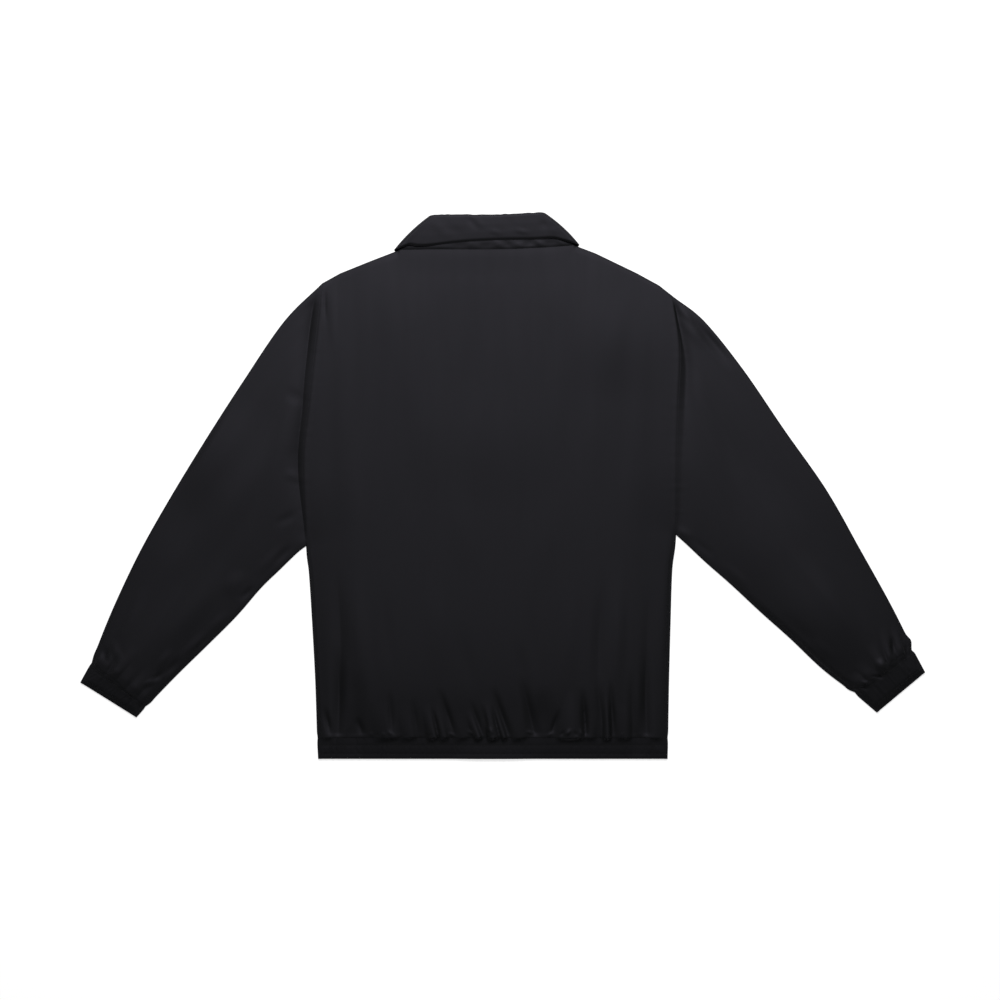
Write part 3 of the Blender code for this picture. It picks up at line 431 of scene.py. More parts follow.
# How deep the sleeve sinks beside each armhole seam, its runs towards the body and down the sleeve, and
# how far from the seam its deepest line lies
SeamDepth = namedtuple("SeamDepth", "y depth roll run shift")
ARMHOLE_DEPTHS = {
    -1: (
        SeamDepth(-88.0, 0.5, 4.0, 9.0, 0.5),
        SeamDepth(-56.0, 1.6, 4.2, 10.0, 1.5),
        SeamDepth(-24.0, 2.4, 5.5, 11.5, 4.0),
        SeamDepth(8.0, 3.3, 6.2, 11.0, 6.5),
        SeamDepth(42.0, 3.8, 6.5, 10.5, 7.8),
        SeamDepth(60.0, 3.5, 6.5, 10.0, 7.7),
        SeamDepth(90.0, 3.4, 7.0, 10.0, 8.2),
        SeamDepth(116.0, 3.4, 7.0, 10.0, 9.0),
        SeamDepth(140.0, 3.3, 7.5, 10.5, 10.0),
        SeamDepth(165.0, 3.4, 8.0, 11.0, 10.8),
        SeamDepth(190.0, 3.7, 8.0, 11.0, 11.0),
        SeamDepth(215.0, 4.1, 7.5, 10.5, 11.0),
        SeamDepth(238.0, 3.7, 6.6, 9.5, 10.5),
        SeamDepth(256.0, 2.7, 5.4, 8.5, 9.5),
        SeamDepth(272.0, 1.0, 4.5, 7.0, 8.0),
        SeamDepth(293.0, 0.1, 4.0, 6.0, 7.0),
    ),
    1: (
        SeamDepth(-72.0, 0.3, 6.0, 14.0, 5.0),
        SeamDepth(-20.0, 0.9, 7.0, 16.0, 7.0),
        SeamDepth(40.0, 1.0, 7.0, 17.0, 8.0),
        SeamDepth(90.0, 1.6, 8.0, 15.0, 9.5),
        SeamDepth(118.0, 2.4, 8.0, 12.5, 9.8),
        SeamDepth(133.0, 2.9, 8.0, 11.5, 9.8),
        SeamDepth(148.0, 3.2, 8.0, 11.0, 9.6),
        SeamDepth(165.0, 3.3, 7.8, 10.5, 9.0),
        SeamDepth(180.0, 3.1, 6.8, 10.0, 7.8),
        SeamDepth(195.0, 2.8, 5.4, 9.5, 5.8),
        SeamDepth(210.0, 2.6, 3.9, 8.5, 3.8),
        SeamDepth(228.0, 2.4, 2.6, 7.0, 2.1),
        SeamDepth(248.0, 2.4, 1.8, 6.0, 1.0),
        SeamDepth(262.0, 1.4, 2.0, 5.0, 1.0),
        SeamDepth(274.0, 0.3, 3.0, 6.0, 1.0),
    ),
}
SEAM_TROUGH_POWER = {-1: 1.15, 1: 1.7}
# The low ridge of seam cloth on the body's side, and the seam's puckers
SEAM_RIDGE = 0.4
SEAM_RIDGE_AT = 3.0
SEAM_RIDGE_RUN = 3.5
SEAM_PUCKER = 0.16
SEAM_PUCKER_RUN = 10.0
SEAM_PUCKER_SHIFT = 40.0
SEAM_PUCKER_WAVES = Waves(11.0, 17.0, 61.0)
SEAM_END_FADE = 18.0
UNDER_GROOVE = 0.5
UNDER_GROOVE_RUN = 2.6

# Small dents of the collar's leaf and wrinkles of its stand
LEAF_CREASES = (
    Crease(-45.0, 379.0, 36, 16, 7, -0.45, 0.1, 1),
    Crease(-34.0, 380.0, 30, 14, 7, 0.35, 0.0, 0),
    Crease(61.0, 379.0, -22, 15, 10, -0.5, 0.0, 0),
    Crease(78.0, 372.0, -44, 20, 9, 0.4, 0.0, 0),
    Crease(-10.0, 365.0, 70, 15, 6, 0.3, 0.0, 0),
    Crease(28.0, 366.0, 76, 16, 6, 0.35, 0.0, 1),
    Crease(10.0, 378.0, 12, 17, 12, -0.3, 0.0, 0),
    Crease(-92.0, 372.0, 40, 26, 11, 0.3, 0.0, 0),
    Crease(-70.0, 368.0, 62, 24, 11, -0.25, 0.0, 0),
)
STAND_CREASES = (
    Crease(-92.0, 345.0, 78, 24, 4.0, 0.8, 0.2, 0),
    Crease(-60.0, 344.0, 84, 20, 3.5, -0.8, 0.3, 0),
    Crease(-44.0, 348.0, 72, 16, 4.0, 1.0, 0.3, 0),
    Crease(-26.0, 343.5, 92, 16, 3.5, -1.2, 0.3, 0),
    Crease(-6.0, 348.0, 60, 12, 4.5, 1.5, 0.2, 0),
    Crease(8.0, 347.0, 48, 11, 4.0, -1.3, 0.3, 0),
    Crease(24.0, 346.0, 70, 13, 4.5, 1.4, 0.2, 0),
    Crease(38.0, 350.0, 106, 12, 4.0, -1.2, 0.3, 0),
    Crease(54.0, 349.0, 66, 12, 4.5, 1.5, 0.2, 0),
    Crease(70.0, 350.0, 100, 12, 4.0, -1.2, 0.3, 0),
    Crease(86.0, 350.0, 64, 13, 4.5, 1.3, 0.2, 0),
)
STAND_LEAF_FADE = 0.125
ROLL_WAVE = 0.5
ROLL_WAVES = Waves(17.0, 29.0, 71.0)

# Bands: elastic casings with shirred ripples that the stitch rows hold down
STITCH_ROW_DIP = 0.2
STITCH_ROW_RUN = 1.5
STITCH_ROW_HOLD = 0.7
SHIRR = 0.3
FINE_SHIRR = 0.5
Shirring = namedtuple("Shirring", "coarse fine shift slant")
HEM_SHIRRING = Shirring(Waves(8.3, 13.1, 57.0), Waves(5.1, 7.7, 43.0), 31.0, 0.4)
CUFF_SHIRRING = Shirring(Waves(6.9, 10.7, 39.0), Waves(4.3, 6.1, 29.0), 17.0, 0.5)
HEM_STITCH_Y = (-376.0, -387.9)
CUFF_STITCH_SHARES = (0.14, 0.8)
BAND_EDGE_RADIUS = 0.8
BAND_UNDER_ROUND = 0.35
EdgePair = namedtuple("EdgePair", "outer under")
CUFF_PINCH = {-1: EdgePair(0.8, 0.9), 1: EdgePair(2.2, 1.4)}
CUFF_PINCH_RUN = 5.0
CUFF_PUFF = {-1: EdgePair(0.5, 0.5), 1: EdgePair(3.0, 0.8)}
CUFF_PUFF_AT = 10.0
CUFF_PUFF_RUN = 7.0
CUFF_DROP = 0.4
CUFF_TUCK = 9.0
CUFF_CALM = 8.0
CUFF_END_ROUND = 0.5
SLEEVE_END_SQUEEZE = (0.99, 0.97, 0.91)
# How far a sleeve's end hangs over its cuff, from the under edge (0) to the outer one (1)
OverhangPoint = namedtuple("OverhangPoint", "share amount")
OVERHANG_RUN = 14.0
CUFF_UNDER = OVERHANG_RUN / 3
OVERHANGS = {
    -1: (
        OverhangPoint(0.0, 0.0),
        OverhangPoint(0.16, 0.8),
        OverhangPoint(0.31, 1.6),
        OverhangPoint(0.46, 0.4),
        OverhangPoint(0.61, -0.8),
        OverhangPoint(0.76, 0.8),
        OverhangPoint(0.9, -0.5),
        OverhangPoint(1.0, 0.0),
    ),
    1: (
        OverhangPoint(0.0, 0.0),
        OverhangPoint(0.12, 1.4),
        OverhangPoint(0.26, 0.4),
        OverhangPoint(0.42, 3.8),
        OverhangPoint(0.53, 2.2),
        OverhangPoint(0.64, -2.2),
        OverhangPoint(0.8, -2.6),
        OverhangPoint(0.92, -0.6),
        OverhangPoint(1.0, 0.0),
    ),
}
HEM_PINCH = 0.8
HEM_PINCH_RUN = 5.0

# Mesh spacing
BACK_FINE_COLUMNS = 300
BACK_COLUMNS = 150
GATHER_ZONE = 104.0
FINE_ROW = 1.3
FINE_ROW_GROWTH = 1.035
BACK_ROW = 4.4
FRONT_COLUMNS = 78
FRONT_ROW = 4.6
HEM_COLUMNS = 330
HEM_ROW = 1.5
FRONT_HEM_COLUMNS = 120
FRONT_HEM_ROW = 2.4
SLEEVE_RINGS = 190
SLEEVE_UPPER_COLUMNS = 92
SLEEVE_LOWER_COLUMNS = 48
CUFF_RINGS = 26
RING_CROWDING = 0.076
SHARP_ANGLE = math.radians(60)


def ease(share):
    """A smooth step from 0 to 1."""
    share = np.clip(share, 0.0, 1.0)
    return share * share * (3 - 2 * share)


def mix(first, second, share):
    """A place between two, at a share of the way."""
    return np.asarray(first, float) * (1 - share) + np.asarray(second, float) * share


def unit(vector):
    return np.asarray(vector, float) / np.linalg.norm(vector)


def bell(distance, run):
    """A rounded bump of height 1 that fades with distance."""
    return np.exp(-((distance / run) ** 2))


def smooth_max(first, second):
    """The larger of two heights, with a soft change between them."""
    total = np.maximum(first, 0) ** SOFT_POWER + np.maximum(second, 0) ** SOFT_POWER
    return total ** (1 / SOFT_POWER)


def ripple(at, waves):
    """An uneven wave from -1 to 1."""
    turn = 2 * math.pi * at
    wander = RIPPLE_WANDER * np.sin(turn / waves.slow)
    swell = np.sin(turn / (waves.slow * RIPPLE_BEAT_LENGTH) + RIPPLE_BEAT_START)
    first = np.sin(turn / waves.first + wander)
    second = np.sin(turn / waves.second + RIPPLE_SECOND_START)
    return mix(1.0, swell, RIPPLE_BEAT) * mix(second, first, RIPPLE_SHARE)


def spline(rows, at):
    """A smooth curve through rows, read at positions where row k lies at k."""
    rows = np.asarray(rows, float)
    at = np.asarray(at, float)
    last = len(rows) - 1
    k = np.clip(at.astype(int), 0, last - 1)
    share = (at - k)[..., None]
    start, end = rows[k], rows[k + 1]
    leave = np.where((k > 0)[..., None], (end - rows[np.maximum(k - 1, 0)]) / 2, end - start)
    arrive = np.where((k + 2 <= last)[..., None], (rows[np.minimum(k + 2, last)] - start) / 2, end - start)
    bend = share * share * (3 - 2 * share)
    return (
        start * (1 - bend)
        + end * bend
        + leave * (share**3 - 2 * share**2 + share)
        + arrive * (share**3 - share**2)
    )


def bezier(start, control, end, share):
    """A point of a curve that leaves its start towards a control point."""
    return mix(mix(start, control, share), mix(control, end, share), share)


def body_edges(level):
    """The left and right edge of the body at a level of its table."""
    row = spline(BODY, level)
    return row[..., :2], row[..., 2:]


LEVELS = np.linspace(0, SHOULDER, LEVEL_STEPS * SHOULDER + 1)
LEVEL_Y = body_edges(LEVELS)[0][:, 1]
ARMHOLE_LEVELS = np.linspace(UNDERARM, SHOULDER, CURVE_STEPS)
ARMHOLES = dict(zip((-1, 1), body_edges(ARMHOLE_LEVELS)))


def armhole_x(side, y):
    """The armhole seam's X at a height Y, on the left (-1) or the right (1)."""
    edge = ARMHOLES[side]
    return np.interp(y, edge[:, 1], edge[:, 0])


def back_top_y(x):
    return np.interp(x, [p.x for p in BACK_TOP], [p.y for p in BACK_TOP])


def front_neck_point(side, share):
    """The front neckline from the shoulder (0) to the centre front (1)."""
    control = (CENTRE_X + side * FRONT_NECK_CURVE.x, FRONT_NECK_CURVE.y)
    return bezier(NECK_ENDS[side], control, (CENTRE_X, FRONT_NECK_Y), share)


def front_top_y(side, x):
    """The top of a front: its shoulder, then its neckline, then level past the centre front."""
    curve = np.array([front_neck_point(side, share) for share in np.linspace(0, 1, CURVE_STEPS)])
    order = np.argsort(curve[:, 0])
    neckline = np.interp(x, curve[order, 0], curve[order, 1])
    return np.where((x - NECK_ENDS[side].x) * side >= 0, back_top_y(x), neckline)


def jacket_outline():
    """The outline of the whole jacket seen from above, as one closed loop of points."""
    steps = np.linspace(0, 1, CURVE_STEPS)
    left = spline(LEFT_SLEEVE, steps * (len(LEFT_SLEEVE) - 1))
    right = spline(RIGHT_SLEEVE, steps * (len(RIGHT_SLEEVE) - 1))
    left_side, right_side = body_edges(steps * UNDERARM)
    loop = [*left[:, 2:], LEFT_CUFF_END[2:], LEFT_CUFF_END[:2], *left[::-1, :2]]
    loop += [p for p in BACK_TOP if p.x < NECK_LEFT.x]
    loop += [COLLAR_BACK[0][4:], *[row[:2] for row in COLLAR_BACK], COLLAR_BACK[-1][4:]]
    loop += [p for p in BACK_TOP if p.x > NECK_RIGHT.x]
    loop += [*right[:, :2], RIGHT_CUFF_END[:2], RIGHT_CUFF_END[2:], *right[::-1, 2:]]
    loop += [*right_side[::-1], *left_side]
    return np.array([np.asarray(p, float) for p in loop])


OUTLINE = jacket_outline()


def outline_distance(x, y):
    """How far points are from the jacket's outline."""
    run = np.roll(OUTLINE, -1, axis=0) - OUTLINE
    length = np.maximum((run * run).sum(axis=1), TINY)
    nearest = np.full(x.shape, np.inf)
    for start, way, size in zip(OUTLINE, run, length):
        away_x, away_y = x - start[0], y - start[1]
        share = np.clip((away_x * way[0] + away_y * way[1]) / size, 0, 1)
        nearest = np.minimum(nearest, (away_x - way[0] * share) ** 2 + (away_y - way[1] * share) ** 2)
    return np.sqrt(nearest)


def flute(x, y, base, lean, tail, row, hold=1.0):
    """A gather: a rounded flute that runs up from its seam, with one steep flank.

    The hold is the share of its height that it has at the seam.
    """
    lean = math.radians(lean)
    along = -math.sin(lean) * (x - base[0]) + math.cos(lean) * (y - base[1])
    across = math.cos(lean) * (x - base[0]) + math.sin(lean) * (y - base[1])
    share = np.clip(np.where(along > 0, along / row.reach, -along / tail), 0, 1)
    half_width = row.width * (1 + row.spread * np.where(along > 0, share, 0))
    peak = GATHER_SKEW * row.side * (1 - share)
    offset = across / half_width - peak
    offset = offset / np.where(offset > 0, 1 - peak, 1 + peak)
    profile = np.maximum(1 - offset * offset, 0) ** GATHER_POWER
    held = mix(hold, 1.0, ease(along / CUFF_HOLD_RUN))
    return GATHER_GAIN * row.height * held * (1 - share) ** GATHER_FADE_POWER * profile


def crease_height(x, y, row):
    """A soft ridge or trough at a place of its own."""
    lean = math.radians(row.lean)
    along = (-math.sin(lean) * (x - row.x) + math.cos(lean) * (y - row.y)) / row.reach
    across = math.cos(lean) * (x - row.x) + math.sin(lean) * (y - row.y)
    across = np.clip(np.abs((across - row.bend * along * along) / row.width), 0, 1)
    fade = np.cos(math.pi / 2 * np.clip(along, -1, 1)) ** 2
    soft = np.cos(math.pi / 2 * across) ** 2
    return row.height * fade * (soft * (1 - row.crisp) + (1 - across) ** 2 * row.crisp)


def creases(x, y, table):
    return sum(crease_height(x, y, row) for row in table)


def hem_gathers(x, y):
    return np.max([flute(x, y, (row.across, HEM_Y), row.lean, BAND_FADE, row) for row in HEM_GATHERS], axis=0)


def cuff_sections(side):
    """The sections of a sleeve at its cuff seam and at the open end of the cuff."""
    return np.array(SLEEVES[side][-1]), np.array(CUFF_ENDS[side])


def section_width(section):
    return float(np.linalg.norm(section[:2] - section[2:]))


def cuff_gathers(x, y, side):
    """The gathers above one cuff, which run up the sleeve from its seam."""
    seam, end = cuff_sections(side)
    up = unit(seam[:2] + seam[2:] - end[:2] - end[2:])
    axis = math.degrees(math.atan2(-up[0], up[1]))
    flutes = []
    for row in CUFF_GATHERS[side]:
        base = mix(seam[2:], seam[:2], row.across)
        flutes.append(flute(x, y, base, axis + row.lean, BAND_FADE, row, CUFF_HOLD))
    return np.max(flutes, axis=0)


def armhole_relief(x, y):
    """The sunk sleeve, the proud seam and its puckers along both armholes."""
    total = np.zeros_like(x)
    for side, edge in ARMHOLES.items():
        table = ARMHOLE_DEPTHS[side]
        away = side * (x - armhole_x(side, y))
        at = np.interp(y, [row.y for row in table], np.arange(len(table)))
        depth, roll, run, shift = np.moveaxis(spline([row[1:] for row in table], at), -1, 0)
        from_trough = away - shift
        share = np.abs(from_trough / np.where(from_trough > 0, run, roll))
        trough = -depth * np.exp(-(share ** SEAM_TROUGH_POWER[side]))
        ridge = SEAM_RIDGE * bell(away + SEAM_RIDGE_AT, SEAM_RIDGE_RUN)
        waves = ripple(y + SEAM_PUCKER_SHIFT * side, SEAM_PUCKER_WAVES)
        pucker = SEAM_PUCKER * waves * bell(away, SEAM_PUCKER_RUN)
        fade = ease((y - edge[0, 1]) / SEAM_END_FADE)
        total += fade * (trough + ridge + pucker)
    return total


def under_groove(x, y):
    """How far the cloth below rises at the armhole seams."""
    grooves = []
    for side, edge in ARMHOLES.items():
        away = x - armhole_x(side, y)
        grooves.append(bell(away, UNDER_GROOVE_RUN) * ease((y - edge[0, 1]) / SEAM_END_FADE))
    return UNDER_GROOVE * sum(grooves)


def collar_lift(x, y, top=COLLAR_LIFT_Y, run=COLLAR_LIFT_RUN_Y):
    """How far the fronts lie above the table where the collar's leaves are under them."""
    across = (COLLAR_LIFT_HALF_WIDTH + COLLAR_LIFT_RUN - np.abs(x - CENTRE_X)) / COLLAR_LIFT_RUN
    return COLLAR_LIFT * ease(across) * ease((y - top) / run + 1)


def front_lift(x, y):
    """How far the outer front lies above the table: over the collar's leaves and the snap caps."""
    across = (OVERLAP / 2 + PLACKET_RUN - np.abs(x - CENTRE_X)) / PLACKET_RUN
    along = (y - PLACKET_END_Y) / PLACKET_RUN
    return np.maximum(collar_lift(x, y), SNAP_LIFT * ease(across) * ease(along))


def overlap_lift(distance, run):
    """How far a layer lies above the outer front, by distance from the centre front."""
    return (LAYER + LAYER_GAP) * ease((OVERLAP / 2 + run - distance) / run)


def hem_blouse(x, y):
    """The back's fullness above its hem band."""
    above = np.maximum(y - HEM_Y, 0)
    full = BLOUSE * (1 - np.exp(-above / BLOUSE_RISE)) * bell(above, BLOUSE_RUN)
    return full * ease((BLOUSE_HALF_WIDTH - np.abs(x - CENTRE_X)) / BLOUSE_SIDE_RUN)


def hem_groove(x, y):
    """The uneven groove at the seam between back and hem band."""
    depth = HEM_GROOVE * mix(1.0, ripple(x, HEM_GROOVE_WAVES), HEM_GROOVE_UNEVEN)
    return -depth * bell(y - HEM_Y, HEM_GROOVE_RUN)


def neck_dip(x, y):
    """How far the back sinks towards its neck seam."""
    ends = ease((x - NECK_LEFT.x) / NECK_DIP_FADE) * ease((NECK_RIGHT.x - x) / NECK_DIP_FADE)
    return -NECK_DIP * ends * bell(np.minimum(y - back_top_y(x), 0), NECK_DIP_RUN)


def upper_z(x, y):
    """The top face of the upper layer: back, sleeve tops, cuffs and hem."""
    lift = collar_lift(x, y, BACK_LIFT_Y, BACK_LIFT_RUN_Y)
    edge = outline_distance(x, y)
    puff = LOFT * (1 - (1 - np.clip(edge / LOFT_RUN, 0, 1)) ** LOFT_POWER)
    over_fronts = overlap_lift(np.abs(x - CENTRE_X), BACK_OVERLAP_RUN)
    folds = hem_gathers(x, y) + cuff_gathers(x, y, -1) + cuff_gathers(x, y, 1)
    folds += creases(x, y, BACK_CREASES + SLEEVE_CREASES)
    folds += creases(x, y, HEM_CREASES + SEAM_MARKS) * ease((y - HEM_Y) / SEAM_HOLD)
    folds += armhole_relief(x, y) + hem_groove(x, y) + neck_dip(x, y)
    broad = smooth_max(puff, over_fronts) + hem_blouse(x, y)
    return lift + 2 * LAYER + LAYER_GAP + broad + folds * ease(edge / FOLD_FADE)


def fold_step(angles, radius):
    """How far in and up a folded edge's face is, at angles round it from its outermost line."""
    inset = FOLD_RADIUS - radius
    return inset + (FOLD_REACH - inset) * (1 - np.cos(angles)), radius * np.sin(angles)


def lengths_along(row):
    """How far along a row of points each of them is."""
    steps = np.linalg.norm(np.diff(row, axis=0), axis=1)
    return np.concatenate([[0.0], np.cumsum(steps)])


def step_middles(row):
    """Where the middle of each step along a row of points is, as a share of the row's length."""
    along = lengths_along(row)
    return (along[:-1] + along[1:]) / (2 * along[-1])


def strip(points, first, second, ring):
    """Faces of the strip between two rows of point numbers, which may differ in how many they are."""
    if ring:
        first, second = [*first, first[0]], [*second, second[0]]
    last_i, last_j = len(first) - 1, len(second) - 1
    if last_i == last_j:
        return [(first[k], first[k + 1], second[k + 1], second[k]) for k in range(last_i)]
    first_middles, second_middles = (step_middles([points[k] for k in row]) for row in (first, second))
    faces = []
    i, j = 0, 0
    while i < last_i or j < last_j:
        if j == last_j or (i < last_i and first_middles[i] <= second_middles[j]):
            faces.append((first[i], first[i + 1], second[j]))
            i += 1
        else:
            faces.append((first[i], second[j + 1], second[j]))
            j += 1
    return faces


def add_piece(name, points, faces, flats, finish):
    """A mesh piece from points in millimetres, with the flat cloth's coordinates in metres as its UV map."""
    maker = bpy.data.meshes.new(name)
    maker.from_pydata(np.asarray(points) * METRES, [], faces)
    layer = maker.uv_layers.new(name="cloth")
    corners = np.empty(len(maker.loops), np.int32)
    maker.loops.foreach_get("vertex_index", corners)
    layer.data.foreach_set("uv", (np.asarray(flats)[corners] * METRES).astype(np.float32).ravel())
    turned = bmesh.new()
    turned.from_mesh(maker)
    bmesh.ops.recalc_face_normals(turned, faces=turned.faces)
    turned.to_mesh(maker)
    turned.free()
    maker.shade_smooth()
    maker.set_sharp_from_angle(angle=SHARP_ANGLE)
    maker.materials.append(finish)
    piece = bpy.data.objects.new(name, maker)
    bpy.context.collection.objects.link(piece)
    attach(piece, BODY_NAME)
    return piece


def shell(name, outer, inner, flats, finish, ring=False):
    """A thin closed wall between two faces, each given as rows of points."""
    points, faces, numbers = [], [], []
    for rows in (outer, inner):
        numbered = []
        for row in rows:
            numbered.append(range(len(points), len(points) + len(row)))
            points.extend(row)
        for first, second in zip(numbered, numbered[1:]):
            faces += strip(points, first, second, ring)
        numbers.append(numbered)
    for end in (0, -1):
        faces += strip(points, numbers[0][end], numbers[1][end], ring)
        if not ring:
            faces += strip(points, [r[end] for r in numbers[0]], [r[end] for r in numbers[1]], False)
    return add_piece(name, points, faces, np.concatenate(flats), finish)


def heights(rows, height):
    """Fill in Z for rows of (x, y, rise), all at once: the height function gets X, Y and rise."""
    x, y, rise = (np.concatenate([row[k] for row in rows]) for k in range(3))
    points = np.column_stack([x, y, height(x, y, rise)])
    return np.split(points, np.cumsum([len(row[0]) for row in rows])[:-1])


def inside(count, width, both_folded=True):
    """Even shares across a width, clear of its folded edges."""
    margin = FOLD_REACH / width
    shares = np.arange(1, count + 1) / (count + 1)
    return margin + shares * (1 - margin * (2 if both_folded else 1))


def top_shift(level):
    """The share of the top edge's curve that a row of a panel follows."""
    y = body_edges(level)[0][1]
    return max((y - HEM_Y) / (BODY[SHOULDER].left_y - HEM_Y), 0.0) ** 2


def level_at(y):
    return np.interp(y, LEVEL_Y, LEVELS)


# One row of a panel's plan: its level, the number of columns, and the angle round a folded top edge
PanelRow = namedtuple("PanelRow", "level columns top_angle")


def panel_plan(first_rows, row_spacing, fine_columns, columns):
    """Rows of a panel from the hem seam to the top edge, close together in the gathered part."""
    plan = [PanelRow(level_at(HEM_Y + rise), fine_columns, None) for rise in first_rows]
    start, end = HEM_Y + first_rows[-1] + row_spacing, BODY[SHOULDER].left_y - FOLD_REACH
    for y in np.arange(start, end - row_spacing / 2, row_spacing):
        plan.append(PanelRow(level_at(y), columns, None))
    return plan + [PanelRow(SHOULDER, columns, angle) for angle in FOLD_ANGLES[::-1]]


def gather_rises():
    """Heights above the hem seam of the rows in the gathered part."""
    rises = [-SEAM_TUCK, 0.0]
    gap = FINE_ROW
    while rises[-1] < GATHER_ZONE:
        rises.append(rises[-1] + gap)
        gap *= FINE_ROW_GROWTH
    return rises


def edge_columns(level, radius, width):
    """Shares across and rises of the columns at a panel's side, which is folded below the underarm."""
    if level <= UNDERARM:
        step, rise = fold_step(FOLD_ANGLES, radius)
    else:
        step, rise = fold_step(FOLD_ANGLES, FOLD_RADIUS)[0], np.full(len(FOLD_ANGLES), np.nan)
    return step / width, rise


def side_pinch(y):
    """How far the sides are drawn in where the hem band is sewn on."""
    return HEM_PINCH * bell(y - HEM_Y, HEM_PINCH_RUN)


def back_row(row, radius):
    """X, Y and rise of one row of the back or its hem, across the body."""
    left, right = body_edges(row.level)
    pinch = side_pinch(left[1])
    left, right = left + (pinch, 0), right - (pinch, 0)
    width = right[0] - left[0]
    share, rise = edge_columns(row.level, radius, width)
    shares = np.concatenate([share, inside(row.columns, width), 1 - share[::-1]])
    rises = np.concatenate([rise, np.full(row.columns, np.nan), rise[::-1]])
    x, y = mix(left[0], right[0], shares), mix(left[1], right[1], shares)
    top_x = mix(BACK_TOP[0].x, BACK_TOP[-1].x, shares)
    y = y + top_shift(row.level) * (back_top_y(top_x) - mix(BACK_TOP[0].y, BACK_TOP[-1].y, shares))
    if row.top_angle is not None:
        on_shoulder = (top_x < NECK_LEFT.x) | (top_x > NECK_RIGHT.x)
        step, top_rise = fold_step(row.top_angle, radius)
        plain_step = fold_step(row.top_angle, FOLD_RADIUS)[0]
        y = y - np.where(on_shoulder, step, plain_step)
        rises = np.where(np.isnan(rises) & on_shoulder, top_rise, rises)
    return x, y, rises


def upper_height(thick, relief):
    """The height function of one face of the upper layer: round its folded edge or over what is under it."""

    def height(x, y, rise):
        round_edge = front_lift(x, y) + FOLD_RADIUS + rise
        return np.where(np.isnan(rise), upper_z(x, y) + relief(x, y) - thick, round_edge)

    return height


def no_relief(x, y):
    return np.zeros_like(x)


def tucked(x, y):
    """How far a panel's lower edge sinks under the hem band that is sewn to it."""
    return -SEAM_TUCK_SLOPE * np.maximum(HEM_Y - y, 0)


def tucked_front(x, y):
    return -tucked(x, y)


def upper_face(plan, depth, relief=no_relief):
    """One face of a piece of the body's upper layer, at a depth under its top face."""
    return heights([back_row(row, FOLD_RADIUS - depth) for row in plan], upper_height(depth, relief))


def flat_rows(rows):
    """Rows of points as they are seen from above, for the flat cloth's coordinates."""
    return [row[:, :2] for row in rows]


def make_back(finish):
    """The back, whose inner face is coarser above its gathers."""
    outer_plan = panel_plan(gather_rises(), BACK_ROW, BACK_FINE_COLUMNS, BACK_FINE_COLUMNS)
    inner_plan = panel_plan(gather_rises(), 2 * BACK_ROW, BACK_FINE_COLUMNS, BACK_COLUMNS)
    outer, inner = upper_face(outer_plan, 0.0, tucked), upper_face(inner_plan, PANEL_THICK, tucked)
    return shell("back_panel", outer, inner, flat_rows(outer + inner), finish)


def stitch_dips(along, stitch_rows):
    """How far a band sinks at its stitch rows, and the share of its ripples that is free between them."""
    dips, free = np.zeros_like(along), np.ones_like(along)
    for row in stitch_rows:
        dips -= STITCH_ROW_DIP * bell(along - row, STITCH_ROW_RUN)
        free *= 1 - STITCH_ROW_HOLD * bell(along - row, 2 * STITCH_ROW_RUN)
    return dips, free


def shirr_waves(across, along, shirring):
    """Coarse ripples across a band, with finer ones that slant over them."""
    slanted = across + shirring.shift + shirring.slant * along
    return ripple(across, shirring.coarse) + FINE_SHIRR * ripple(slanted, shirring.fine)


def hem_relief(x, y):
    """Shirred ripples of the hem band and the dips of its stitch rows."""
    dips, free = stitch_dips(y, HEM_STITCH_Y)
    return dips + SHIRR * free * shirr_waves(x, y, HEM_SHIRRING)


def band_levels(spacing):
    """Levels of a hem band's rows from its rounded lower edge to just under its seam."""
    depth = HEM_Y - HEM_EDGE_Y
    rises = list(BAND_EDGE_RADIUS * (1 - np.cos(FOLD_ANGLES)))
    rises += list(np.arange(BAND_EDGE_RADIUS + spacing, depth - spacing / 2, spacing)) + [depth]
    return [rise / depth for rise in rises]


def edge_round(y):
    """How far a face sinks towards a band's rounded lower edge."""
    near = np.clip(1 - (y - HEM_EDGE_Y) / BAND_EDGE_RADIUS, 0, 1)
    return BAND_EDGE_RADIUS * (1 - np.sqrt(1 - near * near))


def make_hem_back(finish):
    """The hem band of the back, rounded over at its lower edge."""
    plan = [PanelRow(level, HEM_COLUMNS, None) for level in band_levels(HEM_ROW)]

    def rounded(x, y):
        return hem_relief(x, y) - edge_round(y)

    def rounded_under(x, y):
        return hem_relief(x, y) + BAND_UNDER_ROUND * edge_round(y)

    outer, inner = upper_face(plan, 0.0, rounded), upper_face(plan, BAND_THICK, rounded_under)
    return shell("hem_back_band", outer, inner, flat_rows(outer + inner), finish)


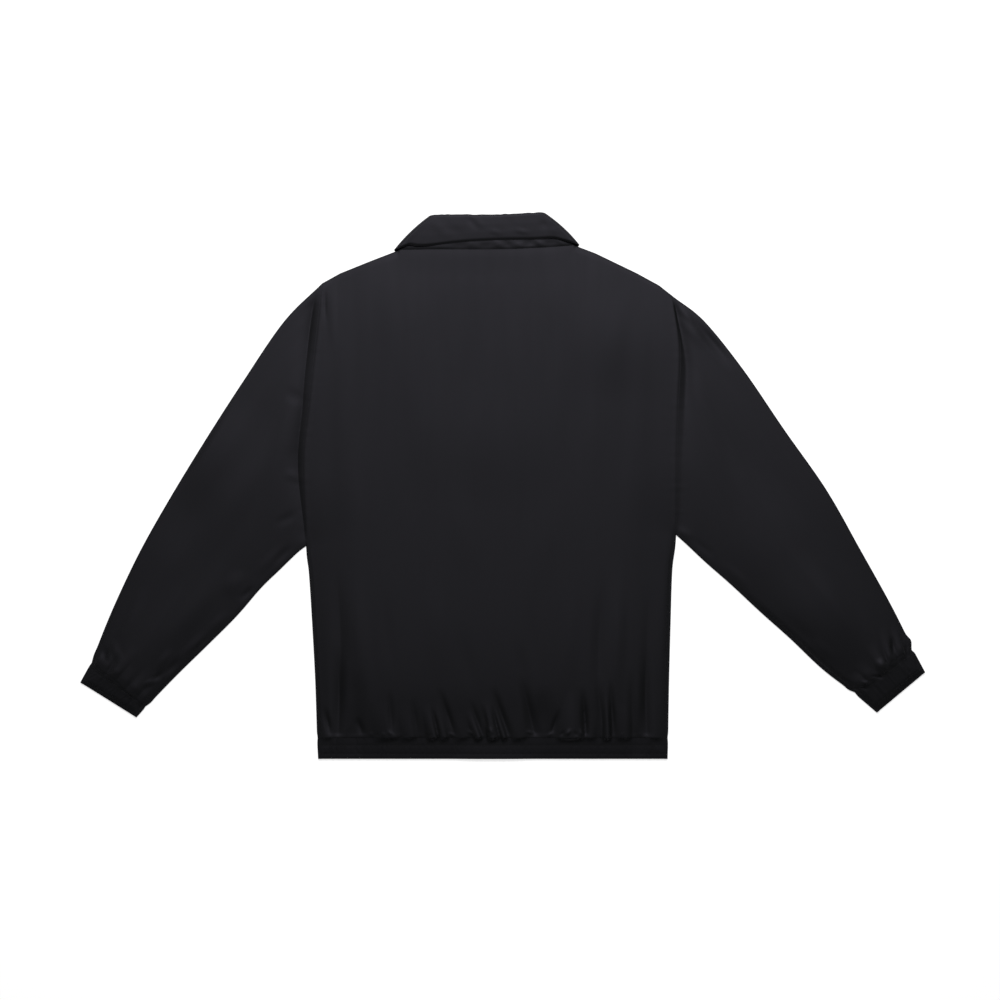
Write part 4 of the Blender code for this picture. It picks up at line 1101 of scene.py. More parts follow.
def front_row(side, row, radius):
    """X, Y and rise of one row of a front or its hem, from the side to the edge past the centre front."""
    pick = 0 if side < 0 else 1
    edge = body_edges(row.level)[pick]
    shoulder = BODY[SHOULDER][2 * pick : 2 * pick + 2]
    start_x = edge[0] - side * side_pinch(edge[1])
    front_x = CENTRE_X - side * OVERLAP / 2
    width = abs(front_x - start_x)
    share, rise = edge_columns(row.level, radius, width)
    shares = np.concatenate([share, inside(row.columns, width, False), [1.0]])
    rises = np.concatenate([rise, np.full(row.columns + 1, np.nan)])
    x, top_x = mix(start_x, front_x, shares), mix(shoulder[0], front_x, shares)
    y = edge[1] + top_shift(row.level) * (front_top_y(side, top_x) - shoulder[1])
    if row.top_angle is not None:
        on_shoulder = (top_x - NECK_ENDS[side].x) * side >= 0
        step, top_rise = fold_step(row.top_angle, radius)
        y = y - np.where(on_shoulder, step, fold_step(row.top_angle, FOLD_RADIUS)[0])
        rises = np.where(np.isnan(rises) & on_shoulder, top_rise, rises)
    return x, y, rises


def front_folds(x, y):
    """Soft creases of the fronts, which all rise from the table, and fade at the edges and the placket."""
    total = creases(x, y, FRONT_CREASES) + FRONT_GATHER_SHARE * hem_gathers(2 * CENTRE_X - x, y)
    placket = ease((np.abs(x - CENTRE_X) - OVERLAP / 2 - PLACKET_RUN) / PLACKET_RUN)
    return total * placket * ease(outline_distance(x, y) / FOLD_FADE - FRONT_FADE_START)


def lower_height(side, thick, relief):
    """The height function of one face of a front: on the table, the collar, the snaps or the other front."""

    def height(x, y, rise):
        lift = front_lift(x, y)
        over = overlap_lift(np.maximum(x - CENTRE_X, 0), OVERLAP_RUN) if side > 0 else 0.0
        level = lift + over + front_folds(x, y) + under_groove(x, y) + relief(x, y) + thick
        return np.where(np.isnan(rise), level, lift + FOLD_RADIUS - rise)

    return height


def lower_faces(side, plan, thick, relief):
    """Both faces of a front or its hem, the one on the table first."""
    faces = []
    for radius, depth in ((FOLD_RADIUS, 0.0), (FOLD_RADIUS - thick, thick)):
        rows = [front_row(side, row, radius) for row in plan]
        faces.append(heights(rows, lower_height(side, depth, relief)))
    return faces


def under_relief(x, y):
    """The stitch rows of a band that lies on the table, which lift it a little."""
    return sum(STITCH_ROW_DIP * bell(y - row_y, STITCH_ROW_RUN) for row_y in HEM_STITCH_Y)


def make_fronts(panel_finish, band_finish):
    """Both fronts and their hem bands, by the names of their nodes."""
    pieces = {}
    for side, word in SIDES:
        front, hem = f"front_{word}", f"hem_front_{word}"
        plan = panel_plan(gather_rises()[::2], FRONT_ROW, FRONT_COLUMNS, FRONT_COLUMNS)
        outer, inner = lower_faces(side, plan, PANEL_THICK, tucked_front)
        pieces[front] = shell(f"{front}_panel", outer, inner, flat_rows(outer + inner), panel_finish)
        plan = [PanelRow(level, FRONT_HEM_COLUMNS, None) for level in band_levels(FRONT_HEM_ROW)]
        outer, inner = lower_faces(side, plan, BAND_THICK, under_relief)
        pieces[hem] = shell(f"{hem}_band", outer, inner, flat_rows(outer + inner), band_finish)
    return pieces


def ring_columns(radius, width):
    """Shares across and rises round a flattened tube: under edge, upper side, outer edge and lower side.

    A rise is NaN on the upper side and infinite on the lower one.
    """
    step, rise = fold_step(FOLD_ANGLES, radius)
    step = step / width
    upper, lower = inside(SLEEVE_UPPER_COLUMNS, width), inside(SLEEVE_LOWER_COLUMNS, width)
    shares = np.concatenate([step, upper, 1 - step[::-1], 1 - step[1:], 1 - lower, step[:0:-1]])
    rises = np.concatenate(
        [rise, np.full(len(upper), np.nan), rise[::-1], -rise[1:], np.full(len(lower), np.inf), -rise[:0:-1]]
    )
    return shares, rises


def tube_ring(side, section, bow, radius):
    """X, Y and rise of one ring of a sleeve or cuff. The bow says how far it follows the armhole's curve."""
    outer_edge, under_edge = section[:2], section[2:]
    shares, rises = ring_columns(radius, section_width(section))
    x, y = mix(under_edge[0], outer_edge[0], shares), mix(under_edge[1], outer_edge[1], shares)
    if bow > 0:
        armhole = SLEEVES[side][0]
        seam_y = mix(armhole.under_y, armhole.outer_y, shares)
        x = x + bow * (armhole_x(side, seam_y) - mix(armhole.under_x, armhole.outer_x, shares))
    return x, y, rises


def tube_height(thick, relief):
    """The height function of one face of a sleeve or cuff."""

    def height(x, y, rise):
        upper = upper_z(x, y) + relief(x, y) - thick
        lower = thick + under_groove(x, y) + np.abs(np.minimum(relief(x, y), 0))
        round_edge = FOLD_RADIUS + np.where(np.isfinite(rise), rise, 0)
        return np.where(np.isnan(rise), upper, np.where(np.isinf(rise), lower, round_edge))

    return height


def widened(section, outer, under):
    """A sleeve section drawn out, or in, at its outer and its under edge."""
    way = unit(section[:2] - section[2:])
    return np.concatenate([section[:2] + way * outer, section[2:] - way * under])


def pinched(side, section, from_seam):
    """A section drawn in at the cuff seam."""
    share = -bell(from_seam, CUFF_PINCH_RUN)
    return widened(section, CUFF_PINCH[side].outer * share, CUFF_PINCH[side].under * share)


def overhang(side, shares, from_seam):
    """How far points of a sleeve's ring move towards the cuff near its seam."""
    at = np.interp(shares, [p.share for p in OVERHANGS[side]], np.arange(len(OVERHANGS[side])))
    amount = spline([(p.amount,) for p in OVERHANGS[side]], at)[..., 0]
    return amount * ease(1 - from_seam / OVERHANG_RUN)


def cuff_line(side):
    """The middles of a cuff's seam and open end, and the cuff's length."""
    seam, end = cuff_sections(side)
    start, stop = (seam[:2] + seam[2:]) / 2, (end[:2] + end[2:]) / 2
    return start, stop, float(np.linalg.norm(stop - start))


def sleeve_rings(side, radius):
    """Rings from the armhole to the cuff seam, closer together at both ends."""
    table = SLEEVES[side]
    start, stop, _ = cuff_line(side)
    way = unit(stop - start)
    rings = []
    for k in range(SLEEVE_RINGS):
        share = k / (SLEEVE_RINGS - 1)
        at = share - RING_CROWDING * math.sin(2 * math.pi * share)
        section = spline(table, at * (len(table) - 1))
        from_seam = abs(((section[:2] + section[2:]) / 2 - start) @ way)
        puff = bell(from_seam - CUFF_PUFF_AT, CUFF_PUFF_RUN)
        section = widened(section, CUFF_PUFF[side].outer * puff, CUFF_PUFF[side].under * puff)
        section = pinched(side, section, from_seam)
        x, y, rises = tube_ring(side, section, max(1 - at / ARMHOLE_BOW_END, 0) ** 2, radius)
        shares = ring_columns(radius, section_width(section))[0]
        hung = overhang(side, shares, from_seam)
        rings.append((x + way[0] * hung, y + way[1] * hung, rises))
    x, y, rises = rings[0]
    return [(x - side * SEAM_TUCK, y, rises), *rings]


def cuff_rings(side, radius):
    """Rings from under the sleeve's end to the open end of the cuff."""
    seam, end = cuff_sections(side)
    length = cuff_line(side)[2]
    rings = []
    last = 1 + CUFF_LENGTHENED[side] / length
    for share in [-CUFF_TUCK / length, *np.linspace(-CUFF_UNDER / length, last, CUFF_RINGS)]:
        section = widened(pinched(side, mix(seam, end, share), share * length), -SEAM_GAP, -SEAM_GAP)
        rings.append(tube_ring(side, section, 0.0, radius))
    return rings


def cuff_relief(side):
    """Shirred ripples of a cuff, the dips of its stitch rows and its rounded end."""
    start, stop, length = cuff_line(side)
    way = unit(stop - start)
    across = np.array([-way[1], way[0]])
    stitch_rows = [share * length for share in CUFF_STITCH_SHARES]

    def relief(x, y):
        along = (x - start[0]) * way[0] + (y - start[1]) * way[1]
        beside = (x - start[0]) * across[0] + (y - start[1]) * across[1]
        dips, free = stitch_dips(along, stitch_rows)
        waves = shirr_waves(beside, along, CUFF_SHIRRING)
        shirred = SHIRR * ease(along / CUFF_CALM) * free * (waves - 1)
        near = np.clip(1 - (length + CUFF_LENGTHENED[side] - along) / BAND_EDGE_RADIUS, 0, 1)
        return dips + shirred - BAND_EDGE_RADIUS * CUFF_END_ROUND * near * near - CUFF_DROP

    return relief


def squeeze(row, share):
    """Flatten a ring of a tube to a share of its height, about the middle of its folded edges."""
    row[:, 2] = FOLD_RADIUS + (row[:, 2] - FOLD_RADIUS) * share


def tube(name, rings, thick, relief, finish, end_squeeze=()):
    """A closed tube wall, with cloth coordinates that run round and along it."""
    faces = []
    for radius, depth in ((FOLD_RADIUS, 0.0), (FOLD_RADIUS - thick, thick)):
        face = heights(rings(radius), tube_height(depth, relief))
        squeeze(face[0], TUCK_SQUEEZE)
        for row, share in zip(face[::-1], end_squeeze[::-1]):
            squeeze(row, share)
        faces.append(face)
    outer, inner = faces
    flats, along, last = [], 0.0, None
    for row in outer:
        middle = row.mean(axis=0)
        along += 0.0 if last is None else float(np.linalg.norm(middle - last))
        last = middle
        around = lengths_along(row[:, :2])
        flats.append(np.column_stack([around - around[-1] / 2, np.full(len(row), along)]))
    return shell(name, outer, inner, flats + flats, finish, True)


def make_sleeves(panel_finish, band_finish):
    """Both sleeves and their cuffs, by the names of their nodes."""
    pieces = {}
    for side, word in SIDES:
        sleeve, cuff = f"sleeve_{word}", f"cuff_{word}"
        rings = partial(sleeve_rings, side)
        wall = tube(f"{sleeve}_panel", rings, PANEL_THICK, no_relief, panel_finish, SLEEVE_END_SQUEEZE)
        pieces[sleeve] = wall
        rings = partial(cuff_rings, side)
        pieces[cuff] = tube(f"{cuff}_band", rings, BAND_THICK, cuff_relief(side), band_finish)
    return pieces


# Ways in from the fold at a side of the collar, for its neck seam, roll line and leaf edge
Inward = namedtuple("Inward", "neck roll leaf bow")


def fold_inward(side, fold_row, next_row):
    """Ways in from a fold: square to it, and on the back along the roll line and the leaf's edge."""
    fold_row, next_row = np.array(fold_row), np.array(next_row)
    down = unit(fold_row[4:] - fold_row[:2])
    square = np.array([-down[1], down[0]])
    square *= math.copysign(1, square @ (next_row[:2] - fold_row[:2]))
    ways = [unit(next_row[k : k + 2] - fold_row[k : k + 2]) for k in (0, 4)]
    bow = -square * SIDE_BOW[side]
    return Inward(square, square, square, bow), Inward(square, *[way / (way @ square) for way in ways], bow)


def scaled(inward, neck, others):
    return Inward(inward.neck * neck, inward.roll * others, inward.leaf * others, inward.bow * others)


def added(first, second):
    return Inward(*[a + b for a, b in zip(first, second)])


def height_at(point):
    """The height of the upper layer at one point."""
    return float(upper_z(np.array([point[0]]), np.array([point[1]]))[0])


def collar_points(section, turn, inward):
    """The collar's middle surface on one section, from neck seam over the roll to the leaf's edge.

    The turn is -90 degrees on the fronts, 90 on the back and between them round the fold at the side.
    """
    roll, neck, leaf = section[:2], section[2:4], section[4:]
    away = unit(roll - (neck + leaf) / 2)
    side_on = math.cos(turn)
    on_back = max(math.sin(turn), 0)
    back_share = (1 + math.sin(turn)) / 2
    neck = neck + inward.neck * STAND_FOLD * (1 - side_on)
    if turn > -math.pi / 2:
        neck[1] = max(neck[1], back_top_y(neck[0]) + SEAM_GAP + COLLAR_LAYER / 2 * side_on)
    leaf_in = COLLAR_LAYER / 2 + LEAF_FOLD * (1 - side_on)
    stand_in = STAND_INSET + STAND_FOLD * (1 - side_on)
    wave = ROLL_WAVE * back_share * np.array([0.0, ripple(roll[0], ROLL_WAVES)])
    stand_top = roll - away * ROLL_BULGE + inward.roll * stand_in + wave
    leaf_top = roll - away * ROLL_BULGE + inward.roll * leaf_in + wave
    leaf = leaf + inward.leaf * leaf_in
    front_z = COLLAR_LIFT + LAYER / 2
    neck_z = front_z + (height_at(neck) - LAYER / 2 - front_z) * back_share
    stand_z = front_z + (STAND_TOP_Z - front_z) * back_share
    leaf_z = COLLAR_LAYER / 2 + (LEAF_Z - COLLAR_LAYER / 2) * back_share
    neck, stand_top = np.array([*neck, neck_z]), np.array([*stand_top, stand_z])
    roll_z = leaf_z + LEAF_RISE * on_back
    leaf_top, leaf = np.array([*leaf_top, roll_z]), np.array([*leaf, leaf_z])
    middle, half = (stand_top + leaf_top) / 2, (leaf_top - stand_top) / 2
    bulge = np.array([*away, 0]) * (ROLL_BULGE - COLLAR_LAYER / 2)
    hidden = neck - np.array([*away * SEAM_TUCK, STAND_TUCK * math.sin(turn)])
    stand = [hidden]
    for share in np.linspace(0, 1, STAND_POINTS - 1):
        crown = float(np.interp(share, STAND_CROWN_SHARES, STAND_CROWN_HEIGHTS))
        stand.append(mix(neck, stand_top, share) + (0, 0, on_back * STAND_CROWN * crown))
    rolled = [middle - half * math.cos(a) + bulge * math.sin(a) for a in ROLL_ANGLES]
    fall = []
    fall_length = np.linalg.norm(leaf - leaf_top)
    for share in 1 - (1 - np.linspace(0, 1, LEAF_POINTS)) ** LEAF_CROWDING:
        crown = float(np.interp(share, LEAF_CROWN_SHARES, LEAF_CROWN_HEIGHTS))
        drop = bell((1 - share) * fall_length, LEAF_EDGE_RUN)
        rise = on_back * (LEAF_CROWN * crown - LEAF_EDGE_DROP * drop)
        bow = 1 - (2 * share - 1) ** 2
        fall.append(mix(leaf_top, leaf, share) + np.array([*inward.bow * bow, rise]))
    return [*stand, *rolled, *fall]


def collar_front(side, fold_row, inward):
    """Sections on one front, from its end at the centre front to the fold at the side."""
    front = COLLAR_FRONT[side]
    rows = []
    for share in np.linspace(0, 1, COLLAR_FRONT_STATIONS):
        bend = (CENTRE_X + side * ROLL_FRONT_CURVE.x, ROLL_FRONT_CURVE.y)
        roll = bezier(front[:2], bend, fold_row[:2], share)
        neck_end = front_neck_point(side, 1 - share) + np.array([-side * NECK_GAP, NECK_GAP])
        near_fold = float(ease((share - 1) / FOLD_BLEND + 1))
        neck = mix(neck_end, fold_row[2:4], near_fold)
        neck[0] = max(neck[0] * side, front[2] * side) * side
        neck[1] = max(neck[1], float(front_top_y(side, neck[0])) + NECK_GAP)
        leaf = mix(front[4:], fold_row[4:], share)
        section = np.array([*roll, *neck, *leaf])
        rows.append(collar_points(section, -math.pi / 2, scaled(inward, near_fold, float(ease(share)))))
    return rows


def collar_fold(fold_row, front, back):
    """Sections round the fold at one side, from the front to the back."""
    rows = []
    for turn in COLLAR_TURNS:
        share = (1 + math.sin(turn)) / 2
        inward = added(scaled(front, 1 - share, 1 - share), scaled(back, share, share))
        rows.append(collar_points(np.array(fold_row), turn, inward))
    return rows


def collar_back(left_back, right_back):
    """Sections across the back, with the leaf's dents and the stand's wrinkles."""
    rows = []
    for share in np.linspace(0, 1, COLLAR_BACK_STATIONS):
        section = spline(COLLAR_BACK, share * (len(COLLAR_BACK) - 1))
        from_left, from_right = ease(1 - share / FOLD_BLEND), ease((share - 1) / FOLD_BLEND + 1)
        inward = added(scaled(left_back, from_left, from_left), scaled(right_back, from_right, from_right))
        row = np.array(collar_points(section, math.pi / 2, inward))
        fade = ease(min(share, 1 - share) / STAND_LEAF_FADE)
        for part, table in ((row[:STAND_POINTS], STAND_CREASES), (row[-LEAF_POINTS:], LEAF_CREASES)):
            part[:, 2] += fade * creases(part[:, 0], part[:, 1], table)
        rows.append(row)
    return rows


def collar_surface():
    """Rows of the collar's middle surface, from the left front end round the back to the right one."""
    left, right = COLLAR_BACK[0], COLLAR_BACK[-1]
    left_front, left_back = fold_inward(-1, left, COLLAR_BACK[1])
    right_front, right_back = fold_inward(1, right, COLLAR_BACK[-2])
    rows = collar_front(-1, np.array(left), left_front) + collar_fold(left, left_front, left_back)
    rows += collar_back(left_back, right_back)
    rows += collar_fold(right, right_front, right_back)[::-1]
    return np.array(rows + collar_front(1, np.array(right), right_front)[::-1])


def half_collar(surface):
    """The way from the collar's middle surface out to its face, at each point."""
    normal = np.cross(np.gradient(surface, axis=0), np.gradient(surface, axis=1))
    normal /= np.linalg.norm(normal, axis=2)[:, :, None]
    return normal * COLLAR_THICK / 2


def make_collar(surface, finish):
    """The collar's wall, half its cloth to each side of its middle surface."""
    half = half_collar(surface)
    along = lengths_along(surface[:, STAND_POINTS])
    flats = [np.column_stack([np.full(len(row), at), lengths_along(row)]) for at, row in zip(along, surface)]
    return shell("collar_piece", list(surface + half), list(surface - half), flats + flats, finish)


# Half profile of a snap cap from the middle of its face to the middle of its back
SnapPoint = namedtuple("SnapPoint", "radius height")
SNAP_PROFILE = (
    SnapPoint(0.0, 0.14),
    SnapPoint(3.4, 0.08),
    SnapPoint(4.0, 0.02),
    SnapPoint(4.6, 0.0),
    SnapPoint(5.4, 0.06),
    SnapPoint(6.0, 0.24),
    SnapPoint(6.36, 0.5),
    SnapPoint(6.5, 0.85),
    SnapPoint(6.4, 1.1),
    SnapPoint(6.1, 1.2),
    SnapPoint(0.0, 1.2),
)
SNAP_SIDES = 48


def make_snaps(finish):
    """Plain domed snap caps under the outer front, on the centre front."""
    pieces = {}
    turns = np.linspace(0, 2 * math.pi, SNAP_SIDES, endpoint=False)
    for k in range(SNAP_COUNT):
        y = SNAP_TOP_Y - k * SNAP_SPACING
        place = np.array([CENTRE_X, y])
        base = float(front_lift(place[:1], place[1:])[0]) - SEAM_GAP - SNAP_HEIGHT
        points = [(CENTRE_X, y, base + SNAP_PROFILE[0].height)]
        for row in SNAP_PROFILE[1:-1]:
            ring_x, ring_y = CENTRE_X + row.radius * np.cos(turns), y + row.radius * np.sin(turns)
            points += zip(ring_x, ring_y, np.full(SNAP_SIDES, base + row.height))
        points.append((CENTRE_X, y, base + SNAP_PROFILE[-1].height))
        rings = [range(1 + r * SNAP_SIDES, 1 + (r + 1) * SNAP_SIDES) for r in range(len(SNAP_PROFILE) - 2)]
        faces = []
        for first, second in zip(rings, rings[1:]):
            faces += strip(points, first, second, True)
        for ring, middle in ((rings[0], 0), (rings[-1], len(points) - 1)):
            faces += [(ring[i], ring[(i + 1) % SNAP_SIDES], middle) for i in range(SNAP_SIDES)]
        flats = [(p[0] - CENTRE_X, p[1] - y) for p in points]
        pieces[f"snap_{k + 1}"] = add_piece(f"snap_cap_{k + 1}", points, faces, flats, finish)
    return pieces


# Stitches, and how far from the ends of an edge their rows stop
STITCH_SPACING = 3.0
STITCH_LENGTH = 2.3
STITCH_WIDTH = 0.55
STITCH_HEIGHT = 0.4
STITCH_SINK = 0.05
STITCH_SEGMENTS = 8
STITCH_RINGS = 5
STITCH_SEED = 7
STITCH_TURN = math.radians(4)
PATH_STEP = 1.5
COLLAR_STITCH_IN = 6.0
FRONT_STITCH_IN = 6.0
SIDE_STITCH_END = 3.0
FRONT_STITCH_END = 2.0
NECK_STITCH_END = 4.0
CUFF_STITCH_END = 0.035
COLLAR_STITCH_END = 2


def stitch_tree(thread):
    """Geometry nodes that set rounded stitches along a curve."""
    tree = bpy.data.node_groups.new("stitch_row", "GeometryNodeTree")
    tree.interface.new_socket("Geometry", in_out="INPUT", socket_type="NodeSocketGeometry")
    sizes = (
        ("Spacing", STITCH_SPACING),
        ("Length", STITCH_LENGTH),
        ("Width", STITCH_WIDTH),
        ("Height", STITCH_HEIGHT),
    )
    for name, size in sizes:
        socket = tree.interface.new_socket(name, in_out="INPUT", socket_type="NodeSocketFloat")
        socket.default_value = size * METRES
    tree.interface.new_socket("Seed", in_out="INPUT", socket_type="NodeSocketInt").default_value = STITCH_SEED
    tree.interface.new_socket("Geometry", in_out="OUTPUT", socket_type="NodeSocketGeometry")
    nodes, link = tree.nodes, tree.links.new
    given, result = nodes.new("NodeGroupInput"), nodes.new("NodeGroupOutput")
    spaced = nodes.new("GeometryNodeResampleCurve")
    spaced.mode = "LENGTH"
    way = nodes.new("GeometryNodeInputTangent")
    turned = nodes.new("FunctionNodeAlignRotationToVector")
    turned.axis = "X"
    wobble = nodes.new("FunctionNodeRandomValue")
    wobble.data_type = "FLOAT_VECTOR"
    wobble.inputs["Min"].default_value = (0, 0, -STITCH_TURN)
    wobble.inputs["Max"].default_value = (0, 0, STITCH_TURN)
    spun = nodes.new("FunctionNodeRotateRotation")
    size = nodes.new("ShaderNodeCombineXYZ")
    halved = nodes.new("ShaderNodeVectorMath")
    halved.operation = "SCALE"
    halved.inputs["Scale"].default_value = 0.5
    ball = nodes.new("GeometryNodeMeshUVSphere")
    ball.inputs["Segments"].default_value = STITCH_SEGMENTS
    ball.inputs["Rings"].default_value = STITCH_RINGS
    ball.inputs["Radius"].default_value = 1.0
    placed = nodes.new("GeometryNodeInstanceOnPoints")
    real = nodes.new("GeometryNodeRealizeInstances")
    dressed = nodes.new("GeometryNodeSetMaterial")
    dressed.inputs["Material"].default_value = thread
    link(given.outputs["Geometry"], spaced.inputs["Curve"])
    link(given.outputs["Spacing"], spaced.inputs["Length"])
    link(given.outputs["Seed"], wobble.inputs["Seed"])
    link(way.outputs["Tangent"], turned.inputs["Vector"])
    link(turned.outputs["Rotation"], spun.inputs["Rotation"])
    link(wobble.outputs["Value"], spun.inputs["Rotate By"])
    for axis, name in zip("XYZ", ("Length", "Width", "Height")):
        link(given.outputs[name], size.inputs[axis])
    link(size.outputs["Vector"], halved.inputs[0])
    link(spaced.outputs["Curve"], placed.inputs["Points"])
    link(ball.outputs["Mesh"], placed.inputs["Instance"])
    link(spun.outputs["Rotation"], placed.inputs["Rotation"])
    link(halved.outputs["Vector"], placed.inputs["Scale"])
    link(placed.outputs["Instances"], real.inputs["Geometry"])
    link(real.outputs["Geometry"], dressed.inputs["Geometry"])
    link(dressed.outputs["Geometry"], result.inputs["Geometry"])
    return tree


def set_input(modifier, name, value):
    """Set a modifier's input by the identifier of the socket with that name."""
    for socket in modifier.node_group.interface.items_tree:
        if socket.in_out == "INPUT" and socket.name == name:
            modifier[socket.identifier] = value


def stitches(name, paths, tree, thread):
    """One mesh of all the stitches on some paths, each an array of points in millimetres."""
    curve = bpy.data.curves.new(name, "CURVE")
    curve.dimensions = "3D"
    for path in paths:
        line = curve.splines.new("POLY")
        line.points.add(len(path) - 1)
        spots = np.column_stack([np.asarray(path) * METRES, np.ones(len(path))])
        line.points.foreach_set("co", spots.ravel())
    holder = bpy.data.objects.new(name + "_path", curve)
    bpy.context.collection.objects.link(holder)
    rows = holder.modifiers.new("stitches", "NODES")
    rows.node_group = tree
    set_input(rows, "Seed", STITCH_SEED + len(paths))
    bpy.context.view_layer.update()
    shown = holder.evaluated_get(bpy.context.evaluated_depsgraph_get())
    mesh = bpy.data.meshes.new_from_object(shown)
    mesh.name = name
    mesh.shade_smooth()
    holder.modifiers.remove(rows)
    bpy.data.objects.remove(holder)
    if not mesh.materials:
        mesh.materials.append(thread)
    piece = bpy.data.objects.new(name, mesh)
    bpy.context.collection.objects.link(piece)
    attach(piece, BODY_NAME)
    return piece


def steps_between(start, end):
    """Even steps along a stitch row."""
    return np.linspace(start, end, max(int(abs(end - start) / PATH_STEP), 2))


def hem_back_paths():
    """Stitch rows of the back's hem band."""
    paths = []
    for row_y in HEM_STITCH_Y:
        left, right = body_edges(level_at(row_y))
        x = steps_between(left[0] + SIDE_STITCH_END, right[0] - SIDE_STITCH_END)
        y = np.full(len(x), row_y)
        paths.append(np.column_stack([x, y, upper_z(x, y) + hem_relief(x, y) + STITCH_SINK]))
    return paths


def hem_front_paths(side):
    """Stitch rows of a front's hem band, on its lower face."""
    paths = []
    for row_y in HEM_STITCH_Y:
        edge = body_edges(level_at(row_y))[0 if side < 0 else 1]
        front_x = CENTRE_X - side * (OVERLAP / 2 - FRONT_STITCH_END)
        x = steps_between(edge[0] - side * SIDE_STITCH_END, front_x)
        y = np.full(len(x), row_y)
        z = lower_height(side, 0.0, under_relief)(x, y, np.full(len(x), np.nan))
        paths.append(np.column_stack([x, y, np.maximum(z - STITCH_SINK, STITCH_HEIGHT / 2)]))
    return paths


def cuff_paths(side):
    """Stitch rows over and under one cuff."""
    seam, end = cuff_sections(side)
    relief = cuff_relief(side)
    paths = []
    for share in CUFF_STITCH_SHARES:
        section = mix(seam, end, share)
        count = int(section_width(section) / PATH_STEP)
        across = np.linspace(CUFF_STITCH_END, 1 - CUFF_STITCH_END, count)
        x, y = (mix(section[2 + k], section[k], across) for k in (0, 1))
        paths.append(np.column_stack([x, y, upper_z(x, y) + relief(x, y) + STITCH_SINK]))
        under_z = np.abs(np.minimum(relief(x, y), 0)) - STITCH_SINK
        paths.append(np.column_stack([x, y, np.maximum(under_z, STITCH_HEIGHT / 2)]))
    return paths


def collar_paths(surface):
    """The edge stitch of the collar's leaf, on the face that shows, all the way round."""
    face = surface + half_collar(surface)
    path = []
    for row in face[:, : -LEAF_POINTS - 1 : -1]:
        from_edge = lengths_along(row)
        path.append([np.interp(COLLAR_STITCH_IN, from_edge, row[:, k]) for k in range(3)])
    return [np.array(path[COLLAR_STITCH_END:-COLLAR_STITCH_END])]


def front_edge_path():
    """The stitch row along the outer front's edge."""
    y = steps_between(HEM_Y + SIDE_STITCH_END, FRONT_NECK_Y - NECK_STITCH_END)
    x = np.full(len(y), CENTRE_X + OVERLAP / 2 - FRONT_STITCH_IN)
    z = lower_height(-1, 0.0, no_relief)(x, y, np.full(len(x), np.nan))
    return [np.column_stack([x, y, np.maximum(z - STITCH_SINK, STITCH_HEIGHT / 2)])]


# Colours, roughness and gloss of a cloth finish
ClothFinish = namedtuple("ClothFinish", "dark light rough_low rough_high specular weave_depth")
PANEL_FINISH = ClothFinish((0.0041, 0.0047, 0.0040), (0.0062, 0.0071, 0.0060), 0.56, 0.62, 0.49, 0.00003)
BAND_FINISH = ClothFinish((0.0039, 0.0045, 0.0039), (0.0058, 0.0067, 0.0058), 0.6, 0.66, 0.42, 0.00004)
CLOTH_THREADS = 2400.0
CLOTH_GLOSS_TINT = (0.845, 0.805, 1.0)
WEAVE_STRENGTH = 0.35
CLOUD_SCALE = 9.0
CLOUD_DETAIL = 3.0
CLOUD_ROUGHNESS = 0.55
CLOUD_TINT = 0.7
CLOUD_TINT_START = 0.5
STREAK_SCALE = 60.0
STREAK_DETAIL = 2.0
STREAK_STRETCH = (1.0, 0.12, 1.0)

# Colours, middle roughness and the scale of the clouds of a plain finish
PlainFinish = namedtuple("PlainFinish", "dark light roughness scale")
THREAD_FINISH = PlainFinish((0.005, 0.005, 0.0056), (0.008, 0.008, 0.0088), 0.62, 900.0)
SNAP_FINISH = PlainFinish((0.01, 0.01, 0.011), (0.016, 0.016, 0.017), 0.34, 300.0)
TABLE_FINISH = PlainFinish((0.9, 0.9, 0.9), (0.92, 0.92, 0.92), 0.7, 40.0)
ROUGHNESS_SPREAD = 0.06

# The colour sockets of a mix node, which has sockets of the same names for other kinds
MIX_SHARE, MIX_FIRST, MIX_SECOND, MIX_RESULT = 0, 6, 7, 2


def new_group(name, inputs, outputs):
    """An empty shader group with float or vector inputs and float outputs."""
    group = bpy.data.node_groups.new(name, "ShaderNodeTree")
    for label, kind, value in inputs:
        socket = group.interface.new_socket(label, in_out="INPUT", socket_type=kind)
        if value is not None:
            socket.default_value = value
    for label in outputs:
        group.interface.new_socket(label, in_out="OUTPUT", socket_type="NodeSocketFloat")
    return group, group.nodes.new("NodeGroupInput"), group.nodes.new("NodeGroupOutput")


def math_node(tree, operation, *values):
    """A math node whose inputs are sockets or numbers."""
    node = tree.nodes.new("ShaderNodeMath")
    node.operation = operation
    for socket, value in zip(node.inputs, values):
        if isinstance(value, bpy.types.NodeSocket):
            tree.links.new(value, socket)
        else:
            socket.default_value = value
    return node.outputs["Value"]


def weave_group():
    """Plain weave: warp and weft threads that pass over and under each other."""
    group, given, result = new_group(
        "plain_weave",
        (("Vector", "NodeSocketVector", None), ("Threads", "NodeSocketFloat", CLOTH_THREADS)),
        ("Height",),
    )
    split = group.nodes.new("ShaderNodeSeparateXYZ")
    group.links.new(given.outputs["Vector"], split.inputs["Vector"])
    waves = []
    for axis in "XY":
        turn = math_node(group, "MULTIPLY", split.outputs[axis], given.outputs["Threads"])
        waves.append(math_node(group, "SINE", math_node(group, "MULTIPLY", turn, math.pi)))
    both = math_node(group, "MULTIPLY", *waves)
    group.links.new(math_node(group, "MULTIPLY_ADD", both, 0.5, 0.5), result.inputs["Height"])
    return group


